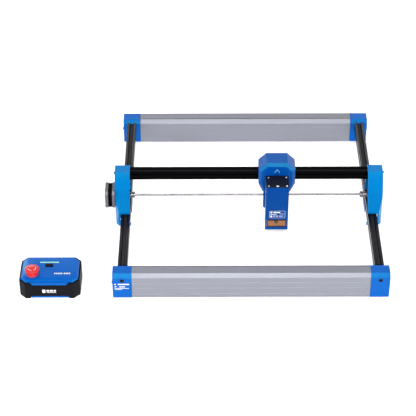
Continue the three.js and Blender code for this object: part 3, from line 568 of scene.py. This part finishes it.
def add_coupling(node, start, bore):
    """A sleeve with a groove round its middle and a set screw in each half."""
    low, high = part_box(node)
    length = high.x - low.x
    radius = (high.z - low.z) / 2
    chamfer = 0.7 * MM
    split = length * 0.5
    groove = radius - 0.9 * MM
    rings = [(bore, 0), (radius - chamfer, 0), (radius, chamfer), (radius, split - 0.6 * MM),
             (groove, split - 0.4 * MM), (groove, split + 0.4 * MM), (radius, split + 0.6 * MM),
             (radius, length - chamfer), (radius - chamfer, length), (bore, length)]
    place = Vector((low.x, start.y, start.z))
    sleeve = turned(f"{node}_sleeve", rings, place, X_AXIS, STEEL, "drive_line",
                    segments=64)
    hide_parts(node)
    for i, along in enumerate((0.25, 0.75)):
        spot = place + X_AXIS * length * along + SET_SCREW_SIDE * radius
        button_screw(f"{node}_set_screw_{i}", spot, SET_SCREW_SIDE, 1.6 * MM, "drive_line")


# ---- gantry -------------------------------------------------------------

COVER_SCREWS = ((29, 5.4), (10, 42))  # millimetres in front of the cover's rear and below its top
NUT_SINK = 1.2 * MM

# Along the motor's axis from its outer face, in millimetres: a name, a start and a thickness.
MOTOR_ENDS = (("outer_end", 0, 6.8), ("inner_end", 15.5, 5.7))
MOTOR_CORNER = 5 * MM
CORE_SHEETS = 4
CORE_START = 6.85 * MM
CORE_PITCH = 2.15 * MM
CORE_THICKNESS = 2.05 * MM
CORE_INSET = 0.7 * MM
MOTOR_SCREW_INSET = 5.6 * MM
CONNECTOR_DEPTH = 4.5 * MM


def dress_gantry():
    """The black cross beam, and each side's cover, plate and belt loop."""
    dress("cross_beam", CROSS_BLACK, edge=0.25 * MM)
    for side in ("left", "right"):
        # The covers' lighter blue is painted light.
        dress(f"{side}_cover", COVER_BLUE_PAINTED_LIGHT, edge=1.2 * MM, segments=3, angle=20)
        dress(f"{side}_carriage_plate", PLATE_BLACK, edge=0.3 * MM)
        dress(f"{side}_belt_loop", BELT_RUBBER, edge=0.15 * MM)


def add_cover_screws():
    """Two button-head screws on each cover's outer side."""
    for side, away in (("left", -1), ("right", 1)):
        low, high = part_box(f"{side}_cover")
        outer = high.x if away > 0 else low.x
        for i, (forward, drop) in enumerate(COVER_SCREWS):
            spot = Vector((outer, high.y - forward * MM, high.z - drop * MM))
            raised_screw(f"{side}_cover_screw_{i}", spot, X_AXIS * away, 2.8 * MM, 2.2 * MM, "gantry")


def add_plate_fasteners():
    """The nuts at the inner ends of the roller axles."""
    for side, away in (("left", 1), ("right", -1)):
        plate_low, plate_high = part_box(f"{side}_carriage_plate")
        inner = (plate_high.x if away > 0 else plate_low.x) - away * NUT_SINK
        for place in ("front", "rear", "lower"):
            roller = centre(f"{side}_{place}_roller")
            spot = Vector((inner, roller.y, roller.z))
            rings = [(0, 0), (hexagon(3.6 * MM), 0), (hexagon(3.6 * MM), 2.2 * MM),
                     (hexagon(3.2 * MM), 2.6 * MM), (0, 2.6 * MM)]
            turned(f"{side}_{place}_axle_nut", rings, spot, X_AXIS * away, SCREW_STEEL, "gantry",
                   segments=36)


def add_cover_plug():
    """The round plug that closes the right cover where the left one carries the motor."""
    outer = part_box("right_cover")[1].x
    shaft = centre("drive_shaft")
    profile = [(0, -2.4), (11.6, -2.4), (11.6, -0.6), (11.1, -0.1), (9.4, -0.1), (9, -0.6), (0, -0.6)]
    rings = [(radius * MM, height * MM) for radius, height in profile]
    turned("right_cover_plug", rings, Vector((outer, shaft.y, shaft.z)), X_AXIS, BLACK_PLASTIC, "gantry",
           segments=64)


def motor_outline(size, corner):
    """A square with cut corners."""
    half = size / 2
    inner = half - corner
    return [(half, -inner), (half, inner), (inner, half), (-inner, half), (-half, inner),
            (-half, -inner), (-inner, -half), (inner, -half)]


def add_gantry_motor():
    """A square stepper motor: two cast ends, the laminated core, screws and a connector."""
    low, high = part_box("gantry_motor")
    size = high.z - low.z
    face = Vector((low.x, (low.y + high.y) / 2, (low.z + high.z) / 2))
    for label, start, thick in MOTOR_ENDS:
        piece = prism(f"motor_{label}", motor_outline(size, MOTOR_CORNER), face + X_AXIS * start * MM,
                      Y_AXIS, Z_AXIS, thick * MM, MOTOR_METAL, "gantry", edge=0.5 * MM)
        if label == "outer_end":
            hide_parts("gantry_motor")
    sheet = motor_outline(size - 2 * CORE_INSET, MOTOR_CORNER + 1 * MM)
    for i in range(CORE_SHEETS):
        place = face + X_AXIS * (CORE_START + i * CORE_PITCH)
        prism(f"motor_core_{i}", sheet, place, Y_AXIS, Z_AXIS, CORE_THICKNESS, CROSS_BLACK, "gantry",
              edge=0.18 * MM)
    offset = size / 2 - MOTOR_SCREW_INSET
    for i, (sy, sz) in enumerate(((1, 1), (-1, 1), (-1, -1), (1, -1))):
        spot = face + Vector((0.3 * MM, sy * offset, sz * offset))
        button_screw(f"motor_screw_{i}", spot, -X_AXIS, 2.6 * MM, "gantry", SCREW_STEEL)
    profile = [(0, 0), (7, 0), (7, 0.5), (6.6, 0.7), (4, 0.7), (3.6, 0.1), (0, 0.1)]
    boss = [(radius * MM, height * MM) for radius, height in profile]
    turned("motor_bearing_boss", boss, face + X_AXIS * 0.2 * MM, -X_AXIS, MOTOR_METAL, "gantry")
    connector = Vector((low.x + 7 * MM, face.y, low.z + 0.4 * MM))
    prism("motor_connector", rectangle(10 * MM, 16 * MM), connector, X_AXIS, Y_AXIS, -CONNECTOR_DEPTH,
          BLACK_PLASTIC, "gantry", edge=0.5 * MM)


# ---- laser head ---------------------------------------------------------

CHEVRON_DROP = 21.5 * MM  # below the housing's top
KNURLS = 24
KNURL_DEPTH = 0.45 * MM
KNOB_LENGTH = 11 * MM
TOP_PLATE_SINK = 3 * MM  # from the top of the plate's socket down to the screws' seats
WINDOW_BAR = 2 * MM


def dress_head():
    """The blue housing, and the plate, motor and belt loop behind it."""
    # The housing's darker blue is painted shade.
    dress("head_housing", HEAD_BLUE_PAINTED_SHADE, edge=1.0 * MM, segments=3, angle=20)
    dress("head_carriage_plate", PLATE_BLACK, edge=0.3 * MM)
    dress("head_motor", MOTOR_METAL, edge=0.3 * MM, angle=40)
    dress("head_belt_loop", BELT_RUBBER, edge=0.15 * MM)


def add_chevron():
    """A raised arrowhead line, high on the housing's front face."""
    low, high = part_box("head_housing")
    middle = (low.x + high.x) / 2
    half, rise, line = 6.2 * MM, 9 * MM, 1.0 * MM
    outline = [(-half, 0), (-half + line, -line * 0.2), (0, rise - line * 1.5), (half - line, -line * 0.2),
               (half, 0), (0, rise)]
    place = Vector((middle, low.y + 0.05 * MM, high.z - CHEVRON_DROP))
    prism("head_chevron", outline, place, X_AXIS, Z_AXIS, 0.2 * MM, MARK_BLUE, "laser_carriage")


def add_focus_knob():
    """A knurled thumb screw behind the tongue."""
    low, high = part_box("focus_lock_knob")
    middle = (low + high) / 2
    radius = (high.x - low.x) / 2

    def knurl(angle):
        return radius - KNURL_DEPTH * (0.5 + 0.5 * math.cos(KNURLS * angle))

    length = KNOB_LENGTH
    back = high.y - length
    rings = [(0, -3 * MM), (2 * MM, -3 * MM), (2 * MM, 0), (radius - 1 * MM, 0), (knurl, 1 * MM),
             (knurl, length - 1.5 * MM), (radius - 1.2 * MM, length), (0, length)]
    knob = turned("knurled_focus_knob", rings, Vector((middle.x, back, middle.z)), Y_AXIS, BLACK_PLASTIC,
                  "focus_knob", segments=144)
    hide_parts("focus_lock_knob")


def dress_module():
    """The anodised body, its dark top plate, the bright heat sink and the amber window."""
    dress("laser_module_body", BLUE_METAL, edge=0.6 * MM)
    dress("module_top_plate", DARK_PLASTIC, edge=0.4 * MM)
    dress("laser_heat_sink", SINK_METAL, edge=0.2 * MM)
    dress("module_window", AMBER, edge=0.15 * MM)


def add_module_top():
    """The four screws of the top plate and the status lens over its front edge."""
    low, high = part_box("laser_module_body")
    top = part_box("module_top_plate")[1].z - TOP_PLATE_SINK
    left, right = low.x + 5.8 * MM, high.x - 4.8 * MM
    front, rear = low.y + 2.2 * MM, high.y - 6.2 * MM
    for i, (x, y) in enumerate(((left, front), (right, front), (right, rear), (left, rear))):
        button_screw(f"top_plate_screw_{i}", Vector((x, y, top)), Z_AXIS, 2.1 * MM, "laser_module",
                     SCREW_STEEL)
    corners = ((-3.2, 1.6), (-1.5, 0), (1.5, 0), (3.2, 1.6), (1.5, 3.2), (-1.5, 3.2))
    lens = [(x * MM, y * MM) for x, y in corners]
    place = Vector(((low.x + high.x) / 2, low.y + 0.1 * MM, top - 0.3 * MM))
    prism("module_status_lens", lens, place, X_AXIS, Y_AXIS, 1.2 * MM, MARK_WHITE, "laser_module",
          edge=0.25 * MM)


def add_window_frame():
    """The dark frame round the amber window."""
    low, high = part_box("module_window")
    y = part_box("laser_module_body")[0].y
    bar = WINDOW_BAR
    wide, tall = high.x - low.x, high.z - low.z
    middle = (low + high) / 2
    side, rise = (wide - bar) / 2, (tall - bar) / 2
    bars = (("top", 0, rise, wide, bar), ("bottom", 0, -rise, wide, bar),
            ("left", -side, 0, bar, tall - 2 * bar), ("right", side, 0, bar, tall - 2 * bar))
    for label, dx, dz, width, height in bars:
        place = Vector((middle.x + dx, y + 0.3 * MM, middle.z + dz))
        prism(f"window_frame_{label}", rectangle(width, height), place, X_AXIS, Z_AXIS, 0.6 * MM,
              WINDOW_FRAME, "laser_module", edge=0.2 * MM)


def add_nozzle():
    """The turned cone over the diode, a ring groove on its barrel and its bright outlet."""
    low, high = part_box("laser_nozzle")
    place = Vector(((low.x + high.x) / 2, (low.y + high.y) / 2, low.z))
    tall = (high.z - low.z) / MM
    profile = [(0, 0.8), (1.3, 0.8), (1.3, 0), (2.2, 0), (4.6, 4), (5.6, 9.4), (7.8, 20), (8, 20.5),
               (8, 23.6), (7.4, 24), (7.4, 25), (8, 25.4), (8, 28.2), (5.9, 28.2), (5.9, tall), (0, tall)]
    rings = [(radius * MM, height * MM) for radius, height in profile]
    nozzle = turned("turned_nozzle", rings, place, Z_AXIS, NOZZLE_BRASS, "laser_module",
                    segments=64)
    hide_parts("laser_nozzle")
    outlet = [(0.6 * MM, -0.4 * MM), (1.2 * MM, -0.4 * MM), (1.2 * MM, 0.7 * MM), (0.6 * MM, 0.7 * MM)]
    turned("nozzle_outlet", outlet, place, Z_AXIS, SCREW_STEEL, "laser_module")


MARK_THICKNESS = 0.1 * MM
MARK_LIFT = 0.03 * MM  # keeps a mark's underside clear of the face that it is printed on


def printed_bar(name, place, width, height, body, radius=0.4):
    """A flat white mark on a front face; its sizes are in millimetres."""
    outline = rectangle(width * MM, height * MM, min(radius, height / 2 * 0.9) * MM, steps=3)
    prism(name, outline, place, X_AXIS, Z_AXIS, MARK_THICKNESS, MARK_WHITE, body)


def printed_outline(name, place, width, height, line, corner, body):
    """A white rounded rectangle drawn as a thin closed line; its sizes are in millimetres."""
    outer = rectangle(width * MM, height * MM, corner * MM)
    inner = rectangle((width - 2 * line) * MM, (height - 2 * line) * MM, (corner - line) * MM)

    def build(bm):
        loops = []
        for outline in (outer, inner):
            for lift in (0, MARK_THICKNESS):
                loops.append([bm.verts.new(place + Vector((a, -lift, b))) for a, b in outline])
        outer_low, outer_high, inner_low, inner_high = loops
        for first, second in ((outer_low, outer_high), (outer_high, inner_high),
                              (inner_high, inner_low), (inner_low, outer_low)):
            for i in range(len(first)):
                j = (i + 1) % len(first)
                bm.faces.new((first[i], first[j], second[j], second[i]))

    finish_piece(name, mesh_from(name, build), MARK_WHITE, body)


def add_module_label():
    """A plain generic label on the module's front: an outline with bars and no lettering."""
    low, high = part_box("laser_module_body")
    middle = Vector(((low.x + high.x) / 2 + 1 * MM, low.y + MARK_LIFT, 58.6 * MM))
    printed_outline("module_label_outline", middle, 34.5, 19.5, 0.5, 1.6, "laser_module")
    # Each bar: across and up from the label's middle, width and height, in millimetres.
    bars = ((-13, 5.6, 4, 4), (-1, 5.6, 15, 3), (10, 1.6, 10, 0.8), (-8.5, 0.4, 13, 1.4),
            (-13, -5, 4, 4), (-6.5, -4.4, 4, 2), (-0.5, -4.4, 4, 2), (8.5, -4.4, 9, 1.2))
    for i, (dx, dz, width, height) in enumerate(bars):
        place = middle + Vector((dx, 0, dz)) * MM
        printed_bar(f"module_label_bar_{i}", place, width, height, "laser_module")


FAN_BLADES = 7
HUB_RADIUS = 7 * MM
BLADE_STEPS = 5
BLADE_HALF_WIDTH = 4.6 * MM
BLADE_HALF_THICKNESS = 0.35 * MM
BLADE_SWEEP = 0.12  # radians that a blade leans forward over its length


def blade_section(bm, part, turn, root, tip):
    """The four corners of a blade at a part (0-1) of the way from its root to its tip."""
    radius = root + (tip - root) * part
    twist = math.radians(48 - 20 * part)
    corners = []
    for side, skin in ((-1, -1), (1, -1), (1, 1), (-1, 1)):
        width = side * BLADE_HALF_WIDTH
        skin *= BLADE_HALF_THICKNESS
        along = width * math.cos(twist) - skin * math.sin(twist)
        lift = width * math.sin(twist) * 0.9 + skin * math.cos(twist)
        angle = turn + along / radius + BLADE_SWEEP * part
        corners.append(bm.verts.new((radius * math.cos(angle), radius * math.sin(angle), lift)))
    return corners


def add_fan():
    """An axial fan with twisted blades."""
    low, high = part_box("cooling_fan")
    middle = (low + high) / 2
    tall = high.z - low.z
    root = HUB_RADIUS * 0.9
    tip = (high.x - low.x) / 2 - 0.6 * MM

    def build(bm):
        for i in range(FAN_BLADES):
            turn = 2 * math.pi * i / FAN_BLADES
            rows = [blade_section(bm, step / BLADE_STEPS, turn, root, tip)
                    for step in range(BLADE_STEPS + 1)]
            for inner, outer in zip(rows, rows[1:]):
                for k in range(4):
                    bm.faces.new((inner[k], inner[(k + 1) % 4], outer[(k + 1) % 4], outer[k]))
            bm.faces.new(rows[0])
            bm.faces.new(rows[-1])
        bmesh.ops.translate(bm, verts=bm.verts, vec=middle)

    blades = finish_piece("fan_blades", mesh_from("fan_blades", build), BLACK_PLASTIC, "cooling_fan")
    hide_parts("cooling_fan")
    rings = [(0, 0), (HUB_RADIUS, 0), (HUB_RADIUS, tall - 1 * MM), (HUB_RADIUS - 1 * MM, tall), (0, tall)]
    turned("fan_hub", rings, Vector((middle.x, middle.y, low.z)), Z_AXIS, BLACK_PLASTIC, "cooling_fan")


# ---- control box --------------------------------------------------------

RIB_PITCH = 4 * MM
COLLAR_BORE = 10.9 * MM
POST_RADIUS = 5.3  # millimetres, as is the rest of the mushroom's profile
ARROWS = 3
ARROW_RADIUS = 7.6 * MM
ARROW_HALF_LINE = 0.75 * MM
ARROW_HALF_HEAD = 1.6 * MM
ARROW_SWEEP = math.radians(68)
ARROW_HEAD_SWEEP = math.radians(20)
ARROW_STEPS = 8

# The slanted bars of a mark, in millimetres.
SLANT_PITCH = 3.6
SLANT_WIDTH = 2.2
SLANT_HEIGHT = 4.4


def dress_control_box():
    """The black shell between a blue lid and base, and the parts set into them."""
    dress("control_box_shell", BLACK_PLASTIC, edge=1.0 * MM, segments=3)
    dress("control_box_lid", BLUE_PLASTIC, edge=0.8 * MM, segments=3, angle=25)
    dress("control_box_base", BLUE_PLASTIC, edge=0.4 * MM)
    dress("control_box_socket", BLACK_PLASTIC, edge=0.3 * MM)
    dress("status_light", LED_GREEN, edge=0.5 * MM)
    dress("power_button", BLACK_PLASTIC, edge=0.6 * MM)


def add_button_ribs():
    """Three grip ribs across the power button."""
    low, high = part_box("power_button")
    for i in (-1, 0, 1):
        place = Vector(((low.x + high.x) / 2 + i * RIB_PITCH, (low.y + high.y) / 2, high.z - 0.1 * MM))
        prism(f"power_button_rib_{i + 1}", rectangle(1.1 * MM, 5.4 * MM), place, X_AXIS, Y_AXIS, 0.5 * MM,
              ROLLER_PLASTIC, "power_button", edge=0.15 * MM)


def add_emergency_stop():
    """The mushroom head with its rotation arrows, and the collar that it sinks towards."""
    low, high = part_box("emergency_stop_collar")
    place = Vector(((low.x + high.x) / 2, (low.y + high.y) / 2, low.z))
    radius = (high.x - low.x) / 2
    tall = high.z - low.z
    rings = [(COLLAR_BORE, 0), (radius, 0), (radius, tall - 1 * MM), (radius - 0.9 * MM, tall),
             (COLLAR_BORE, tall)]
    collar = turned("stop_collar", rings, place, Z_AXIS, STOP_RED, "control_box", segments=96)
    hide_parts("emergency_stop_collar")
    head_low, head_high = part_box("emergency_stop_head")
    reach = (head_high.x - head_low.x) / 2 / MM
    rise = (head_high.z - head_low.z) / MM
    profile = [(POST_RADIUS, 0), (reach - 2.2, 0), (reach - 0.6, 0.3), (reach, 1.2), (reach, 2.2),
               (reach - 0.5, 3), (reach - 1.6, 3.7), (reach - 3.4, rise - 0.3), (reach - 5.2, rise),
               (3, rise - 0.1), (0, rise - 0.1), (0, 2), (POST_RADIUS, 2)]
    rings = [(ring * MM, height * MM) for ring, height in profile]
    place.z = head_low.z
    cap = turned("stop_mushroom", rings, place, Z_AXIS, STOP_RED, "stop_head", segments=96)
    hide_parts("emergency_stop_head")
    dress("emergency_stop_stem", STOP_RED, edge=0.2 * MM)
    for i in range(ARROWS):
        add_arrow(i, Vector((place.x, place.y, head_high.z - 0.15 * MM)))


def on_circle(radius, angle):
    """The point at an angle on a circle round the origin."""
    return radius * math.cos(angle), radius * math.sin(angle)


def add_arrow(index, place):
    """One of the curved arrows that show which way the mushroom turns."""
    start = 2 * math.pi * index / ARROWS + 0.5
    end = start - ARROW_SWEEP
    angles = [start - ARROW_SWEEP * i / ARROW_STEPS for i in range(ARROW_STEPS + 1)]
    outline = [on_circle(ARROW_RADIUS + ARROW_HALF_LINE, angle) for angle in angles]
    outline.append(on_circle(ARROW_RADIUS + ARROW_HALF_HEAD, end))
    outline.append(on_circle(ARROW_RADIUS, end - ARROW_HEAD_SWEEP))
    outline.append(on_circle(ARROW_RADIUS - ARROW_HALF_HEAD, end))
    outline += [on_circle(ARROW_RADIUS - ARROW_HALF_LINE, angle) for angle in reversed(angles)]
    prism(f"stop_arrow_{index}", outline, place, X_AXIS, Y_AXIS, 0.2 * MM, MARK_PINK, "stop_head")


def slanted_bars(name, place, count):
    """A row of small slanted bars that stands for a word on the lid; place is its lower left end."""
    lean = SLANT_HEIGHT * 0.25
    for i in range(count):
        start = i * SLANT_PITCH
        end = start + SLANT_WIDTH
        corners = ((start, 0), (end, 0), (end + lean, SLANT_HEIGHT), (start + lean, SLANT_HEIGHT))
        outline = [(a * MM, b * MM) for a, b in corners]
        prism(f"{name}_{i}", outline, place, X_AXIS, Y_AXIS, MARK_THICKNESS, MARK_WHITE, "control_box")


def add_box_marks():
    """Plain bars where a control box carries its printed words."""
    low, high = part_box("control_box_lid")
    top = high.z + 0.01 * MM
    word = Vector((high.x - 51 * MM, low.y + 21.8 * MM, top))
    slanted_bars("lid_mark_first", word, 5)
    slanted_bars("lid_mark_second", word + X_AXIS * 20 * MM, 4)
    shell_low, shell_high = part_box("control_box_shell")
    middle = Vector(((shell_low.x + shell_high.x) / 2, shell_low.y + MARK_LIFT, 19.8 * MM))
    # Each bar: across and up from the middle, width and height, in millimetres.
    bars = ((-11.8, 0, 6.6, 8.6), (-3.2, 1.4, 6, 4.6), (4.2, 1.4, 6, 4.6), (11.2, 1.4, 5, 4.6),
            (4, -3.4, 20, 1.3))
    for i, (dx, dz, width, height) in enumerate(bars):
        place = middle + Vector((dx, 0, dz)) * MM
        printed_bar(f"shell_mark_{i}", place, width, height, "control_box", 1.2)


def add_cap_label():
    """Small plain bars below the screw on the front left cap."""
    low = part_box("front_left_cap")[0]
    # Each bar: its start and end from the cap's outer side, its level and height, in millimetres.
    bars = ((4, 7.2, 38.4, 3.2), (11.3, 35, 38.4, 3.2), (4.2, 8.4, 32, 2.4), (14, 26, 31.6, 2.6),
            (4.2, 34, 27.2, 1.4), (4.6, 20, 24.4, 1.2))
    for i, (start, end, level, height) in enumerate(bars):
        place = Vector((low.x + (start + end) / 2 * MM, low.y + MARK_LIFT, level * MM))
        printed_bar(f"cap_label_bar_{i}", place, end - start, height, "frame")


# ---- studio -------------------------------------------------------------

WHITE = (1, 1, 1, 1)
PAPER_COLOURS = ((0.93, 0.93, 0.935, 1), (0.95, 0.95, 0.955, 1))
FLOOR_HALF = 6
FLOOR_GLOW = 0.42
FLOOR_DROP = 0.5 * MM  # keeps the floor clear of the feet

# The surround's strength falls from the first value to the second between these heights, where 0
# is the horizon and 1 is straight up.
SURROUND_HEIGHTS = (0.25, 0.62)
SURROUND_STRENGTHS = (1.0, 0.36)


def add_camera():
    """The main camera, in front of the machine and above it."""
    camera = bpy.data.objects.new("camera", bpy.data.cameras.new("camera"))
    bpy.context.scene.collection.objects.link(camera)
    camera.data.lens = CAMERA_LENS
    camera.data.sensor_width = SENSOR_WIDTH
    camera.data.clip_end = 50
    tilt = Matrix.Rotation(math.pi / 2 - CAMERA_PITCH, 4, "X")
    yaw = Matrix.Rotation(CAMERA_YAW, 4, "Z")
    roll = Matrix.Rotation(-CAMERA_ROLL, 4, "Z")
    camera.matrix_world = Matrix.Translation(CAMERA_PLACE) @ yaw @ tilt @ roll
    bpy.context.scene.camera = camera


def add_softbox(name, place, target, size, power):
    """A rectangular lamp at place that faces target."""
    light = bpy.data.lights.new(name, "AREA")
    light.shape = "RECTANGLE"
    light.size, light.size_y = size
    light.energy = power
    lamp = bpy.data.objects.new(name, light)
    bpy.context.scene.collection.objects.link(lamp)
    lamp.location = place
    lamp.rotation_euler = (Vector(target) - Vector(place)).to_track_quat("-Z", "Y").to_euler()


def add_floor():
    """A white light table that the machine stands on."""
    def build(bm):
        bmesh.ops.create_grid(bm, x_segments=1, y_segments=1, size=FLOOR_HALF)

    mesh = mesh_from("floor", build)
    material, tree, shader, place = new_material("floor_paper")
    paper = noise(tree, place, PAPER_SCALE)
    tint(tree, paper, *PAPER_COLOURS, shader.inputs["Base Color"])
    spread(tree, paper, 0.85, 0.95, shader.inputs["Roughness"])
    shader.inputs["Emission Color"].default_value = WHITE
    shader.inputs["Emission Strength"].default_value = FLOOR_GLOW
    mesh.materials.append(material)
    floor = bpy.data.objects.new("floor", mesh)
    bpy.context.scene.collection.objects.link(floor)
    floor.location.z = -FLOOR_DROP


def add_surround():
    """A white surround, bright round the horizon and dimmer overhead."""
    world = bpy.data.worlds.new("surround")
    world.use_nodes = True
    tree = world.node_tree
    place = tree.nodes.new("ShaderNodeTexCoord")
    split = tree.nodes.new("ShaderNodeSeparateXYZ")
    remap = tree.nodes.new("ShaderNodeMapRange")
    remap.inputs["From Min"].default_value, remap.inputs["From Max"].default_value = SURROUND_HEIGHTS
    remap.inputs["To Min"].default_value, remap.inputs["To Max"].default_value = SURROUND_STRENGTHS
    tree.links.new(place.outputs["Generated"], split.inputs["Vector"])
    tree.links.new(split.outputs["Z"], remap.inputs["Value"])
    tree.links.new(remap.outputs["Result"], tree.nodes["Background"].inputs["Strength"])
    tree.nodes["Background"].inputs["Color"].default_value = WHITE
    bpy.context.scene.world = world


def add_lights():
    """A strong strip above the camera, a panel overhead, two lamps behind and two at the sides."""
    add_softbox("front_softbox", (0.0, -1.95, 2.4), (0.0, -0.1, 0.05), (1.7, 0.32), 54)
    add_softbox("top_softbox", (0.0, 0.6, 3.2), (0.0, 0.3, 0), (4.4, 3.2), 24)
    add_softbox("rear_left_softbox", (-1.6, 2.1, 1.45), (-0.4, -0.2, 0.05), (0.6, 0.6), 12)
    add_softbox("rear_softbox", (0, 2.9, 2.1), (0, 0.2, 0.05), (3.2, 0.5), 10)
    for side, away in (("left", -1), ("right", 1)):
        add_softbox(f"{side}_softbox", (away * 2.6, -1.3, 0.8), (0.05, 0, 0.15), (0.4, 0.4), 20)


# ---- the whole object ---------------------------------------------------

dress_frame()
add_cap_screws()
add_feet()
add_toothed_belt("left_belt", "frame", Y_AXIS)
add_toothed_belt("right_belt", "frame", Y_AXIS)
add_toothed_belt("cross_belt", "gantry", X_AXIS)
for wheel_side in ("left", "right"):
    for wheel_place in ("front", "rear", "lower"):
        wheel = f"{wheel_side}_{wheel_place}_roller"
        add_roller(wheel, wheel, X_AXIS)
    add_pulley(f"{wheel_side}_pulley", "drive_line", X_AXIS)
for wheel in ("head_left_roller", "head_right_roller", "head_lower_roller"):
    add_roller(wheel, wheel, Y_AXIS)
add_pulley("head_pulley", "head_pulley", Y_AXIS)
add_drive_line()
dress_gantry()
add_cover_screws()
add_cover_plug()
add_plate_fasteners()
add_gantry_motor()
dress_head()
add_chevron()
add_focus_knob()
dress_module()
add_module_top()
add_window_frame()
add_nozzle()
add_module_label()
add_fan()
dress_control_box()
add_button_ribs()
add_emergency_stop()
add_box_marks()
add_cap_label()
add_camera()
add_floor()
add_surround()
add_lights()
bpy.context.scene.view_settings.view_transform = "Standard"
